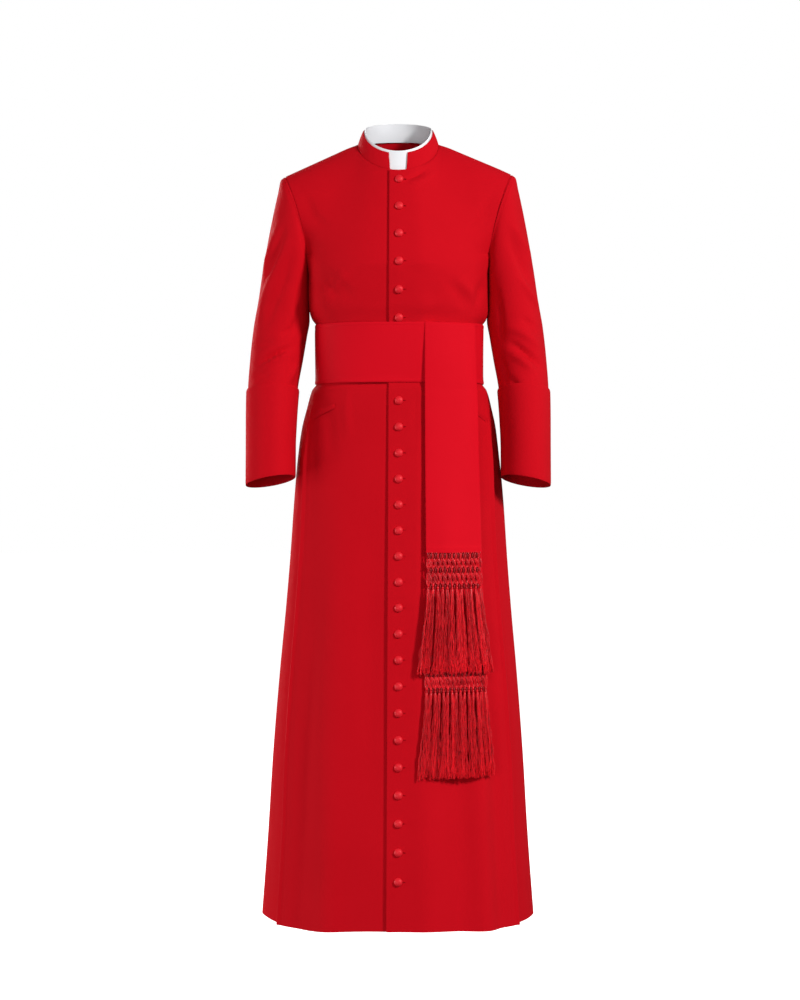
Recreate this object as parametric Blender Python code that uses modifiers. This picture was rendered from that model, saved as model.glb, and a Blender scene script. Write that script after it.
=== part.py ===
"""Red cassock with a stand collar, turned-back cuffs and a fringed sash, worn open-bottomed and hollow.

The frame: +Z up, the wearer faces -Y, the wearer's left is +X, and the origin is level with the
points where the collar seam meets the shoulder seams, at the wearer's shoulders.
"""
import random
from collections import namedtuple
from math import asin, cos, degrees, floor, pi, radians, sin

import bpy
from mathutils import Matrix, Vector

MM = 0.001

# ---------------------------------------------------------------- driving sizes (millimetres, degrees)

WOOL_WALL = 1.8
SASH_WALL = 1.4
LINER_WALL = 1.0
SEAM_GAP = 0.3

NECK_HALF_WIDTH = 77.5
NECK_FRONT = 79.0
NECK_BACK = 66.0
NECK_DROP_FRONT = 56.0
NECK_RISE_BACK = 16.0

RIM_HALF_WIDTH = 67.0
RIM_FRONT = 68.0
RIM_BACK = 59.0
RIM_HEIGHT = 28.0
RIM_DROP_FRONT = 50.5
RIM_RISE_BACK = 17.0
NOTCH_HALF_AT_SEAM = 16.2
NOTCH_HALF_AT_RIM = 18.3
LINER_PROUD = 5.0
LINER_START = 4.0
LINER_STAND = 0.8

SHOULDER_TIP_OUT = 213.0
SHOULDER_TIP_HEIGHT = -62.0
ARMPIT_OUT = 170.0
ARMPIT_HEIGHT = -232.0
ARMHOLE_HALF_DEPTH = 57.0
ARMHOLE_FLARE = 1.7
ARMHOLE_LOW_TURN = 140.0

CHEST_HEIGHT = -245.0
ARCH_STEPS = 7
ARCH_POWER_AT_NECK_FRONT = 1.45
ARCH_POWER_AT_TIP = 2.0
ARCH_POWER_BACK = 2.2
CENTRE_CURVE = 1.7
NECK_SHARE = 0.5

FRONT_SPANS = 8
SIDE_SPANS = 6
BACK_SPANS = 8

LAP_AT_NECK = 15.5
LAP_AT_HEM = 21.0
UNDER_LAP = 20.0
LAP_RISE = 2.4
LAP_SLOPE_GAIN = 0.4

PLEAT_RISE = 3.0
PLEAT_RISE_FROM = -490.0
PLEAT_RISE_FULL = -590.0
PLEAT_TUCK = 14.0
PLEAT_TUCK_FROM = -620.0
PLEAT_TUCK_FULL = -820.0
PLEAT_COLUMNS = 1.5

FRONT_FOLD = 4.0
FRONT_FOLD_SHARE = 0.75
SIDE_FOLD = 5.0
BACK_FOLD = 14.0
FOLDS_FROM = -470.0

BodyRing = namedtuple("BodyRing", "height half_width front back squareness front_seam back_seam")
BODY_RINGS = [
    BodyRing(-1455, 252.8, 218, 233, 2.05, 61, 118),
    BodyRing(-1300, 242.6, 203, 215, 2.05, 61, 118),
    BodyRing(-1150, 233.8, 187, 196, 2.08, 62, 118),
    BodyRing(-1000, 222.4, 171, 178, 2.10, 62, 117),
    BodyRing(-880, 211.4, 159, 164, 2.12, 62, 117),
    BodyRing(-770, 202.4, 147, 150, 2.15, 62, 116),
    BodyRing(-680, 194.8, 138, 138, 2.20, 63, 115),
    BodyRing(-600, 187.5, 129, 127, 2.25, 65, 113),
    BodyRing(-540, 179.7, 123, 117, 2.30, 67, 111),
    BodyRing(-500, 171.7, 119, 110, 2.40, 69, 110),
    BodyRing(-466, 162.0, 116, 103, 2.50, 71, 108),
    BodyRing(-453, 153.6, 112, 98, 2.60, 73, 107),
    BodyRing(-395, 153.6, 112, 98, 2.60, 73, 107),
    BodyRing(-342.5, 153.6, 112, 98, 2.60, 74, 106),
    BodyRing(-328, 161.5, 114, 103, 2.50, 74, 106),
    BodyRing(-290, 163.0, 121, 108, 2.50, 75, 105),
    BodyRing(CHEST_HEIGHT, 167.0, 128, 112, 2.50, 76, 104),
]

SleeveRing = namedtuple("SleeveRing", "outer_x outer_z inner_x inner_z centre_y half_depth flare lean")
SLEEVE_RINGS = [
    SleeveRing(213.6, -62, 172.4, -232.0, 0, 57.3, 1.70, 0.00),
    SleeveRing(221.0, -67, 172.4, -240.0, 0, 61.0, 1.55, 0.00),
    SleeveRing(225.5, -92, 172.0, -252.0, 1, 64.0, 1.40, 0.00),
    SleeveRing(233.5, -132, 171.6, -266.0, 3, 65.0, 1.25, 0.00),
    SleeveRing(243.5, -182, 171.0, -282.0, 6, 65.0, 1.12, 0.02),
    SleeveRing(253.5, -237, 171.0, -302.0, 8, 64.0, 1.05, 0.04),
    SleeveRing(262.5, -293, 173.5, -330.0, 8, 63.0, 1.00, 0.06),
    SleeveRing(272.0, -346, 178.5, -362.0, 4, 62.0, 1.00, 0.10),
    SleeveRing(278.5, -404, 185.0, -406.0, -7, 60.0, 1.00, 0.16),
    SleeveRing(282.5, -467, 192.5, -465.0, -22, 58.0, 1.00, 0.20),
    SleeveRing(283.0, -525, 194.5, -520.0, -34, 57.0, 1.00, 0.20),
    SleeveRing(283.2, -585, 196.0, -574.0, -45, 56.5, 1.00, 0.18),
    SleeveRing(283.2, -643, 196.0, -626.0, -54, 56.0, 1.00, 0.15),
]
SLEEVE_SIDES = 18
CUFF_FIRST_RING = 9
CUFF_STAND = 0.5
CUFF_WALL = 2.0
CUFF_BELOW_SLEEVE = 2.5

BUTTON_DIAMETER = 15.5
BUTTON_HEIGHT = 6.0
BUTTON_STAND = 0.6
BUTTON_SIDES = 8
BUTTON_PROFILE = [(0.0, 1.0), (0.60, 0.84), (1.0, 0.30), (0.84, 0.0), (0.0, 0.0)]
BUTTON_SLOPE_STEP = 10.0
BUTTON_X_AT_NECK = 2.8
BUTTON_X_AT_HEM = 0.0
TOP_BUTTON_HEIGHT = -72.0
TOP_BUTTONS = 6
TOP_BUTTON_PITCH = 52.0
SKIRT_BUTTON_HEIGHT = -488.0
SKIRT_BUTTONS = 19
SKIRT_PITCH_LEAST = 47.4
SKIRT_PITCH_GROWTH = 0.045
SKIRT_PITCH_LEAST_AT = 6.5

BAND_TOP = -342.5
BAND_MIDDLE = -395.0
BAND_FOOT = -453.0
BAND_STAND = 0.8
BAND_LIFT_AT_LAP = 2.5

TAIL_SPANS = 7
BACK_TAIL_STAND = 3.0
FRONT_TAIL_STAND = 7.4
TAIL_SEAT_AT_BAND = 1.8
FRONT_TAIL_SEAT_AT_BAND = 3.8
TAIL_CLEAR_FROM = -458.0
TAIL_LOOSE_FROM = -466.0
FRONT_TAIL_FOOT = -770.0
BACK_TAIL_FOOT = -960.0

TailRow = namedtuple("TailRow", "height left right")
TAIL_ROWS = [
    TailRow(-1240, 48.0, 166.0),
    TailRow(-991, 48.0, 165.0),
    TailRow(-960, 48.5, 164.0),
    TailRow(-880, 50.0, 159.0),
    TailRow(-770, 51.5, 154.0),
    TailRow(-600, 50.5, 150.0),
    TailRow(-458, 50.0, 147.0),
    TailRow(-395, 50.0, 146.0),
    TailRow(-342.5, 50.0, 145.0),
]

TASSELS = 15
NET_WIDTH = 120.0
NET_HEIGHT = 56.0
NET_WALL = 1.6
NET_TOP_STRIP = 2.2
UPPER_DIAMOND = 22.0
NET_KNOT = 1.6
NET_FOOT_STRIP = 2.4
NET_CORD = 2.0
NECK_LENGTH = 11.0
NECK_SIZE = 2.4
HEAD_SLOPE = 2.5
HEAD_SHOULDER = 0.9
HEAD_LENGTH = 11.0
HEAD_WIDTH = 5.9
HEAD_DEPTH = 4.6
STRANDS = 6
STRAND_LENGTH = 146.0
STRAND_UNEVEN = 5.0
STRAND_WIDTH = 1.05
STRAND_DEPTH = 2.6
STRAND_FAN = 0.32
STRAND_WAVER = 0.9
FRINGE_SPREAD = 1.30
FRINGE_SEED = 7

POCKET_WELT_HEIGHT = 9.0
POCKET_WELT_WALL = 1.0
POCKET_STAND = 1.3
POCKET_FRONT_X = 117.0
POCKET_FRONT_HEIGHT = -498.0
POCKET_DROP = 27.0
POCKET_SPANS = 5
POCKET_SHORT_OF_SEAM = 2.5

COLLAR_SPANS = 32
NOTCH_CLEAR = 18.0

Finish = namedtuple("Finish", "name colour roughness")
WOOL = Finish("red_wool", (0.52, 0.004, 0.012), 0.80)
SILK = Finish("red_sash_silk", (0.66, 0.008, 0.020), 0.55)
FRINGE = Finish("red_fringe_silk", (0.56, 0.006, 0.014), 0.45)
BUTTON_CLOTH = Finish("red_button_cloth", (0.60, 0.008, 0.016), 0.50)
WHITE = Finish("white_collar_linen", (0.86, 0.88, 0.88), 0.45)


# ---------------------------------------------------------------- small helpers

def mix(first, last, share):
    return first + (last - first) * share


def smooth(share):
    share = max(0.0, min(1.0, share))
    return share * share * (3.0 - 2.0 * share)


def ramp(value, start, full):
    """0 at start, 1 at full, straight between, held outside."""
    return max(0.0, min(1.0, (value - start) / (full - start)))


def power(value, exponent):
    return abs(value) ** exponent


def row_at(table, height):
    """The table's row at a height, straight between the rows on either side (heights ascending)."""
    for low, high in zip(table, table[1:]):
        if height <= high.height:
            share = ramp(height, low.height, high.height)
            return type(low)(*(mix(a, b, share) for a, b in zip(low, high)))
    return table[-1]


def make_material(finish):
    material = bpy.data.materials.get(finish.name)
    if material is None:
        material = bpy.data.materials.new(finish.name)
        material.use_nodes = True
        shader = material.node_tree.nodes["Principled BSDF"]
        shader.inputs["Base Color"].default_value = (*finish.colour, 1.0)
        shader.inputs["Roughness"].default_value = finish.roughness
        shader.inputs["Metallic"].default_value = 0.0
        material.diffuse_color = (*finish.colour, 1.0)
    return material


def place(name, mesh, finish):
    """An object of this mesh, in the cassock's collection, in its finish."""
    mesh.materials.clear()
    mesh.materials.append(make_material(finish))
    mesh.shade_smooth()
    item = bpy.data.objects.new(name, mesh)
    bpy.data.collections["cassock"].objects.link(item)
    return item


def cloth(name, rows, wall, finish, outward, closed=False, mirrored=False):
    """A grid of points, rows from the foot up and columns anticlockwise from above, given a wall."""
    columns = len(rows[0])
    points = [Vector((-p.x, p.y, p.z)) if mirrored else p for row in rows for p in row]
    faces = []
    for r in range(len(rows) - 1):
        for c in range(columns if closed else columns - 1):
            after = (c + 1) % columns
            face = [r * columns + c, r * columns + after, (r + 1) * columns + after, (r + 1) * columns + c]
            faces.append(face[::-1] if mirrored else face)
    mesh = bpy.data.meshes.new(name)
    mesh.from_pydata([p * MM for p in points], [], faces)
    item = place(name, mesh, finish)
    shell = item.modifiers.new("wall", "SOLIDIFY")
    shell.thickness = wall * MM
    shell.offset = 1.0 if outward else -1.0
    return item


# ---------------------------------------------------------------- the body's form

def ring_outline(ring, turn):
    """A point of the body's section: turn 0 at centre front, 90 at the side, 180 at centre back."""
    across, along = sin(radians(turn)), cos(radians(turn))
    exponent = 2.0 / ring.squareness
    x = ring.half_width * power(across, exponent) * (1.0 if across >= 0.0 else -1.0)
    y = -ring.front * power(along, exponent) if along >= 0.0 else ring.back * power(along, exponent)
    return Vector((x, y, 0.0))


def ring_point(height, turn, out=0.0):
    """The body's surface, moved out level from it."""
    ring = row_at(BODY_RINGS, height)
    tangent = ring_outline(ring, turn + 1.0) - ring_outline(ring, turn - 1.0)
    normal = Vector((tangent.y, -tangent.x, 0.0)).normalized()
    point = ring_outline(ring, turn) + normal * out
    point.z = height
    return point


def fold_growth(height):
    return ramp(height, FOLDS_FROM, BODY_RINGS[0].height)


def neck_point(facing, turn):
    """The collar seam: turn 0 at centre front or back, 90 at the shoulder seam; facing -1 is front."""
    depth = NECK_FRONT if facing < 0 else NECK_BACK
    rise = -NECK_DROP_FRONT if facing < 0 else NECK_RISE_BACK
    along = cos(radians(turn))
    return Vector((NECK_HALF_WIDTH * sin(radians(turn)), facing * depth * along, rise * along))


def top_edge(facing, share):
    """The neckline up to the shoulder seam's inner end, then the shoulder seam."""
    if share <= NECK_SHARE:
        point = neck_point(facing, 90.0 * share / NECK_SHARE)
    else:
        out = (share - NECK_SHARE) / (1.0 - NECK_SHARE)
        point = Vector((mix(NECK_HALF_WIDTH, SHOULDER_TIP_OUT, out), 0.0, SHOULDER_TIP_HEIGHT * out))
    point.y += facing * SEAM_GAP / 2.0
    return point


def armhole_point(turn):
    """The armhole seam: turn 0 at the shoulder tip, 90 at its front, 180 at the armpit, 270 behind."""
    lift = (1.0 + cos(radians(turn))) / 2.0
    return Vector((
        mix(ARMPIT_OUT, SHOULDER_TIP_OUT, power(lift, ARMHOLE_FLARE)),
        -ARMHOLE_HALF_DEPTH * sin(radians(turn)),
        mix(ARMPIT_HEIGHT, SHOULDER_TIP_HEIGHT, lift),
    ))


def shoulder_point(facing, share, step):
    """The chest or back above the top ring: step 0 is the ring, ARCH_STEPS the neck and shoulder."""
    angle = radians(90.0 * step / ARCH_STEPS)
    ring = row_at(BODY_RINGS, CHEST_HEIGHT)

    def arch(at):
        turn = at * ring.front_seam if facing < 0 else 180.0 - at * (180.0 - ring.back_seam)
        base = ring_point(CHEST_HEIGHT, turn)
        top = top_edge(facing, at)
        over = smooth(at / NECK_SHARE)
        roundness = ARCH_POWER_BACK
        if facing < 0:
            roundness = mix(ARCH_POWER_AT_NECK_FRONT, ARCH_POWER_AT_TIP, ramp(at, NECK_SHARE, 1.0))
        rise, fall = power(sin(angle), 2.0 / roundness), power(cos(angle), 2.0 / roundness)
        depth = mix(1.0 - rise ** CENTRE_CURVE, fall, over)
        return Vector((mix(base.x, top.x, rise), mix(top.y, base.y, depth), mix(base.z, top.z, rise)))

    point = arch(share)
    if step >= 1:
        turn = ARMHOLE_LOW_TURN * (ARCH_STEPS - step) / (ARCH_STEPS - 1)
        seam = armhole_point(turn if facing < 0 else -turn)
        if step == ARCH_STEPS:
            seam.y += facing * SEAM_GAP / 2.0
        point += (seam - arch(1.0)) * share ** 3
    return point


# ---------------------------------------------------------------- body panels

def front_wave(share):
    """Two soft troughs between the centre and the pressed side fold."""
    return (cos(4.0 * pi * min(1.0, share / FRONT_FOLD_SHARE)) - 1.0) / 2.0


def front_column(share, lap_rise):
    """One column of a front from hem to top; lap_rise lifts the overlapping front off the one beneath."""
    column = []
    for ring in BODY_RINGS:
        trim = degrees(SEAM_GAP / 2.0 / ring.half_width) if share == 1.0 else 0.0
        out = lap_rise + FRONT_FOLD * fold_growth(ring.height) * front_wave(share)
        if share > 1.0 - PLEAT_COLUMNS / FRONT_SPANS:
            out += PLEAT_RISE * ramp(ring.height, PLEAT_RISE_FROM, PLEAT_RISE_FULL)
        column.append(ring_point(ring.height, share * ring.front_seam - trim, out))
    for step in range(1, ARCH_STEPS + 1):
        thicker = lap_rise * (1.0 + LAP_SLOPE_GAIN * step / ARCH_STEPS)
        column.append(shoulder_point(-1, share, step) - Vector((0.0, thicker, 0.0)))
    return column


def lap_rise_at(share, over):
    """Full from the lap to the first column, gone at the second, on the front that lies on top."""
    return LAP_RISE * (1.0 - ramp(share, 1.0 / FRONT_SPANS, 2.0 / FRONT_SPANS)) if over else 0.0


def make_front(name, over, mirrored):
    """A front with its lap past the centre line: the one on top has the button edge."""
    shares = [j / FRONT_SPANS for j in range(FRONT_SPANS + 1)]
    columns = [front_column(share, lap_rise_at(share, over)) for share in shares]
    lap = []
    for middle, beside in zip(columns[0], columns[1]):
        down = ramp(middle.z, 0.0, BODY_RINGS[0].height)
        reach = mix(LAP_AT_NECK, LAP_AT_HEM, down) if over else UNDER_LAP
        point = middle.lerp(beside, reach / beside.x)
        lap.append(Vector((-point.x, point.y, point.z)))
    rows = [list(row) for row in zip(lap, *columns)]
    return cloth(name, rows, WOOL_WALL, WOOL, outward=True, mirrored=mirrored)


def side_fold(share):
    """Waves along the side panel, none at the front seam and a full crest at the back seam."""
    reach = mix(SIDE_FOLD, BACK_FOLD, share * share) * min(1.0, 2.5 * share)
    return reach * cos(3.0 * pi * (1.0 - share))


def make_side(name, mirrored):
    rows = []
    for ring in BODY_RINGS:
        gap = degrees(SEAM_GAP / 2.0 / ring.half_width)
        tuck = degrees(PLEAT_TUCK / ring.half_width) * ramp(ring.height, PLEAT_TUCK_FROM, PLEAT_TUCK_FULL)
        first = ring.front_seam + gap - tuck
        row = []
        for j in range(SIDE_SPANS + 1):
            share = j / SIDE_SPANS
            turn = mix(first, ring.back_seam - gap, share)
            row.append(ring_point(ring.height, turn, side_fold(share) * fold_growth(ring.height)))
        rows.append(row)
    top = []
    for j in range(SIDE_SPANS + 1):
        turn = mix(ARMHOLE_LOW_TURN, 360.0 - ARMHOLE_LOW_TURN, j / SIDE_SPANS)
        point = armhole_point(turn)
        point.y -= SEAM_GAP / 2.0 * (point.y / ARMHOLE_HALF_DEPTH)
        top.append(point)
    rows.append(top)
    return cloth(name, rows, WOOL_WALL, WOOL, outward=True, mirrored=mirrored)


def make_back(name, mirrored):
    columns = []
    for j in range(BACK_SPANS, -1, -1):
        share = j / BACK_SPANS
        column = []
        for ring in BODY_RINGS:
            gap = degrees(SEAM_GAP / 2.0 / ring.half_width)
            start, end = 180.0 - gap, ring.back_seam + gap
            out = BACK_FOLD * fold_growth(ring.height) * cos(4.0 * pi * share)
            point = ring_point(ring.height, mix(start, end, share), out)
            if j == 0:
                point.x = SEAM_GAP / 2.0
            column.append(point)
        for step in range(1, ARCH_STEPS + 1):
            point = shoulder_point(1, share, step)
            if j == 0:
                point.x = SEAM_GAP / 2.0
            column.append(point)
        columns.append(column)
    rows = [list(row) for row in zip(*columns)]
    return cloth(name, rows, WOOL_WALL, WOOL, outward=True, mirrored=mirrored)


# ---------------------------------------------------------------- sleeves and cuffs

def sleeve_ring_points(ring, out=0.0, drop=0.0):
    """One ring of a sleeve, anticlockwise from above, starting at its outer side."""
    points = []
    for j in range(SLEEVE_SIDES):
        turn = 2.0 * pi * j / SLEEVE_SIDES
        lift = (1.0 + cos(turn)) / 2.0
        x = mix(ring.inner_x, ring.outer_x, power(lift, ring.flare))
        y = ring.half_depth * sin(turn)
        z = mix(ring.inner_z, ring.outer_z, lift) - ring.lean * y
        points.append(Vector((x + out * cos(turn), ring.centre_y + y + out * sin(turn), z - drop)))
    return points


def make_sleeve(name, mirrored):
    rows = [sleeve_ring_points(ring) for ring in reversed(SLEEVE_RINGS)]
    return cloth(name, rows, WOOL_WALL, WOOL, outward=False, closed=True, mirrored=mirrored)


def make_cuff(name, mirrored):
    rings = SLEEVE_RINGS[CUFF_FIRST_RING:]
    rows = [sleeve_ring_points(ring, CUFF_STAND) for ring in reversed(rings)]
    rows[0] = sleeve_ring_points(rings[-1], CUFF_STAND, CUFF_BELOW_SLEEVE)
    return cloth(name, rows, CUFF_WALL, WOOL, outward=True, closed=True, mirrored=mirrored)


# ---------------------------------------------------------------- collar and its white liner

def rim_point(turn):
    """The collar's top edge: turn 0 at centre front, 180 at centre back."""
    along = cos(radians(turn))
    depth = RIM_FRONT if along >= 0.0 else RIM_BACK
    rise = -RIM_DROP_FRONT if along >= 0.0 else -RIM_RISE_BACK
    return Vector((RIM_HALF_WIDTH * sin(radians(turn)), -depth * along, RIM_HEIGHT + rise * along))


def seam_point(turn):
    """The collar's foot round the whole neck, just above the neckline and on its straight stretches."""
    step = 90.0 / (NECK_SHARE * FRONT_SPANS)

    def corner(at):
        facing = -1 if at <= 90.0 or at >= 270.0 else 1
        return neck_point(facing, at if facing < 0 else 180.0 - at)

    first = floor(turn / step) * step
    point = corner(first).lerp(corner(first + step), turn / step - first / step)
    inward = Vector((-point.x, -point.y, 0.0)).normalized() * SEAM_GAP
    return point + inward + Vector((0.0, 0.0, 2.0 * SEAM_GAP))


def collar_point(turn, share):
    return seam_point(turn).lerp(rim_point(turn), share)


def collar_turns(start):
    """Turns from one notch edge round the back to the other, in even steps once past the notch."""
    step = 360.0 / COLLAR_SPANS
    even = [step * j for j in range(COLLAR_SPANS) if NOTCH_CLEAR <= step * j <= 360.0 - NOTCH_CLEAR]
    return [start, *even, 360.0 - start]


def make_collar():
    rows = []
    for share in (0.0, 1.0):
        notch = mix(NOTCH_HALF_AT_SEAM, NOTCH_HALF_AT_RIM, share)
        start = degrees(asin(notch / mix(NECK_HALF_WIDTH, RIM_HALF_WIDTH, share)))
        rows.append([collar_point(turn, share) for turn in collar_turns(start)])
    return cloth("collar", rows, WOOL_WALL, WOOL, outward=False)


def make_collar_liner():
    height = (rim_point(0.0) - seam_point(0.0)).length
    rows = []
    for share in (LINER_START / height, 1.0 + LINER_PROUD / height):
        row = []
        for j in range(COLLAR_SPANS):
            point = collar_point(360.0 * j / COLLAR_SPANS, share)
            inward = Vector((-point.x, -point.y, 0.0)).normalized() * (WOOL_WALL + LINER_STAND)
            row.append(point + inward)
        rows.append(row)
    return cloth("collar_liner", rows, LINER_WALL, WHITE, outward=False, closed=True)


# ---------------------------------------------------------------- buttons

def button_mesh():
    """A cloth-covered dome: its profile turned round the button's axis, which points at +Z."""
    radius = BUTTON_DIAMETER / 2.0
    profile = [Vector((out * radius, 0.0, up * BUTTON_HEIGHT)) * MM for out, up in BUTTON_PROFILE]
    mesh = bpy.data.meshes.new("button")
    mesh.from_pydata(profile, [(i, i + 1) for i in range(len(profile) - 1)], [])
    return mesh


def make_button(name, height):
    down = ramp(height, 0.0, BODY_RINGS[0].height)
    x = mix(BUTTON_X_AT_NECK, BUTTON_X_AT_HEM, down)
    here, above = front_middle(height), front_middle(height + BUTTON_SLOPE_STEP)
    slope = (above - here).normalized()
    normal = Vector((0.0, -slope.z, slope.y))
    foot = here + normal * (WOOL_WALL + BUTTON_STAND)
    item = place(name, button_mesh(), BUTTON_CLOTH)
    turned = item.modifiers.new("turn", "SCREW")
    turned.steps = turned.render_steps = BUTTON_SIDES
    turned.use_merge_vertices = True
    turned.merge_threshold = 0.00005
    axes = Matrix((Vector((1.0, 0.0, 0.0)), -slope, normal)).transposed()
    item.matrix_world = Matrix.Translation(Vector((x, foot.y, foot.z)) * MM) @ axes.to_4x4()
    return item


def front_middle(height):
    """The centre front line at a height, on the inside of the front that laps over."""
    line = front_column(0.0, LAP_RISE)
    for low, high in zip(line, line[1:]):
        if low.z <= height <= high.z:
            return low.lerp(high, ramp(height, low.z, high.z))
    return line[-1]


def button_heights():
    heights = [TOP_BUTTON_HEIGHT - TOP_BUTTON_PITCH * k for k in range(TOP_BUTTONS)]
    height = SKIRT_BUTTON_HEIGHT
    for k in range(SKIRT_BUTTONS):
        heights.append(height)
        height -= SKIRT_PITCH_LEAST + SKIRT_PITCH_GROWTH * (k + 0.5 - SKIRT_PITCH_LEAST_AT) ** 2
    return heights


# ---------------------------------------------------------------- pockets

def make_pocket_welt(name, mirrored):
    """A narrow welt on the front, slanting down towards the side seam."""
    rows = []
    for up in (-0.5, 0.5):
        row = []
        for j in range(POCKET_SPANS + 1):
            share = j / POCKET_SPANS
            height = POCKET_FRONT_HEIGHT - POCKET_DROP * share + POCKET_WELT_HEIGHT * up
            ring = row_at(BODY_RINGS, height)
            start = degrees(asin((POCKET_FRONT_X / ring.half_width) ** (ring.squareness / 2.0)))
            turn = mix(start, ring.front_seam - POCKET_SHORT_OF_SEAM, share)
            row.append(ring_point(height, turn, WOOL_WALL + POCKET_STAND))
        rows.append(row)
    return cloth(name, rows, POCKET_WELT_WALL, WOOL, outward=True, mirrored=mirrored)


# ---------------------------------------------------------------- sash

def band_turns(ring):
    """The turns of the body's own columns at the waist, from centre front to centre back."""
    turns = [ring.front_seam * j / FRONT_SPANS for j in range(FRONT_SPANS + 1)]
    turns += [mix(ring.front_seam, ring.back_seam, j / SIDE_SPANS) for j in range(1, SIDE_SPANS + 1)]
    turns += [mix(ring.back_seam, 180.0, j / BACK_SPANS) for j in range(1, BACK_SPANS + 1)]
    return turns


def make_band():
    rows = []
    for height in (BAND_FOOT, BAND_MIDDLE, BAND_TOP):
        ring = row_at(BODY_RINGS, height)
        half = []
        for turn in band_turns(ring):
            near = 1.0 - ramp(turn / ring.front_seam, 1.0 / FRONT_SPANS, 2.0 / FRONT_SPANS)
            half.append(ring_point(height, turn, WOOL_WALL + BAND_STAND + BAND_LIFT_AT_LAP * near))
        other = [Vector((-p.x, p.y, p.z)) for p in half[-2:0:-1]]
        rows.append(half + other)
    return cloth("sash_band", rows, SASH_WALL, SILK, outward=True, closed=True)


def tail_point(share, height, stand):
    """The hanging ends: share 0 at the edge by the buttons, 1 at the side; stand is off the skirt."""
    row = row_at(TAIL_ROWS, height)
    x = mix(row.left, row.right, share)

    def on_body(level, out):
        ring = row_at(BODY_RINGS, level)
        turn = degrees(asin(min(1.0, x / ring.half_width) ** (ring.squareness / 2.0)))
        return ring_point(level, turn, out)

    clear = ramp(height, BAND_TOP, TAIL_CLEAR_FROM)
    loose = on_body(min(height, TAIL_LOOSE_FROM), WOOL_WALL + stand)
    layer = ramp(stand, BACK_TAIL_STAND, FRONT_TAIL_STAND)
    seat = mix(TAIL_SEAT_AT_BAND, FRONT_TAIL_SEAT_AT_BAND, layer)
    seated = on_body(BAND_TOP, WOOL_WALL + BAND_STAND + SASH_WALL + seat)
    point = seated.lerp(loose, clear)
    point.z = height
    return point


def make_tail(name, foot, stand):
    heights = [row.height for row in TAIL_ROWS if row.height > foot]
    extra = [ring.height for ring in BODY_RINGS if foot < ring.height < TAIL_CLEAR_FROM]
    rows = [[tail_point(j / TAIL_SPANS, height, stand) for j in range(TAIL_SPANS + 1)]
            for height in sorted({foot, *heights, *extra})]
    return cloth(name, rows, SASH_WALL, SILK, outward=True)


# ---------------------------------------------------------------- knotted fringe

def half_depth(y):
    """Half the fringe's thickness at a depth below the cloth: thin net and necks, full heads."""
    neck_foot = -NET_HEIGHT - NECK_LENGTH
    return mix(NET_WALL, HEAD_DEPTH, ramp(-y, -neck_foot, -neck_foot + HEAD_SLOPE)) / 2.0


def net_faces(pitch):
    """The flat heading as faces of (x, y) corners, anticlockwise: two rows of diamonds, necks and heads."""
    middles = [pitch * (k + 0.5) for k in range(TASSELS)]
    bounds = [pitch * k for k in range(TASSELS + 1)]
    both = sorted(middles + bounds)
    half = (pitch - NET_CORD) / 2.0
    top, knot = -NET_TOP_STRIP, -NET_TOP_STRIP - UPPER_DIAMOND
    knot_foot, foot = knot - NET_KNOT, -NET_HEIGHT + NET_FOOT_STRIP
    faces = []

    def diamonds(holes, upper, lower, between_upper, between_lower):
        """The cords between a row of diamond holes, with the corners of the strips above and below."""
        stops = [bounds[0], *holes, bounds[-1]]
        waist = (upper + lower) / 2.0
        for left, right in zip(stops, stops[1:]):
            near = left if left == bounds[0] else left + half
            far = right if right == bounds[-1] else right - half
            extra_up = [(x, upper) for x in reversed(between_upper) if left < x < right]
            extra_low = [(x, lower) for x in between_lower if left < x < right]
            faces.append([(near, waist), (far, waist), (right, upper), *extra_up, (left, upper)])
            faces.append([(left, lower), *extra_low, (right, lower), (far, waist), (near, waist)])

    stops = [bounds[0], *middles, bounds[-1]]
    for left, right in zip(stops, stops[1:]):
        faces.append([(left, top), (right, top), (right, 0.0), (left, 0.0)])
    diamonds(middles, top, knot, [], bounds)
    for left, right in zip(both, both[1:]):
        faces.append([(left, knot_foot), (right, knot_foot), (right, knot), (left, knot)])
    diamonds(bounds[1:-1], knot_foot, foot, middles, [])
    neck, wide = NECK_SIZE / 2.0, HEAD_WIDTH / 2.0
    neck_foot = -NET_HEIGHT - NECK_LENGTH
    head_foot = neck_foot - HEAD_LENGTH
    for middle, left, right in zip(middles, bounds, bounds[1:]):
        low = -NET_HEIGHT
        faces.append([(left, low), (middle - neck, low), (middle + neck, low), (right, low),
                      (right, foot), (left, foot)])
        faces.append([(middle - neck, neck_foot), (middle + neck, neck_foot),
                      (middle + neck, low), (middle - neck, low)])
        shoulder, narrow = neck_foot - HEAD_SLOPE, wide * HEAD_SHOULDER
        faces.append([(middle - narrow, shoulder), (middle + narrow, shoulder),
                      (middle + neck, neck_foot), (middle - neck, neck_foot)])
        roots = [(middle + wide * (2.0 * k / STRANDS - 1.0), head_foot) for k in range(STRANDS + 1)]
        faces.append([*roots, (middle + narrow, shoulder), (middle - narrow, shoulder)])
    return faces


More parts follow.
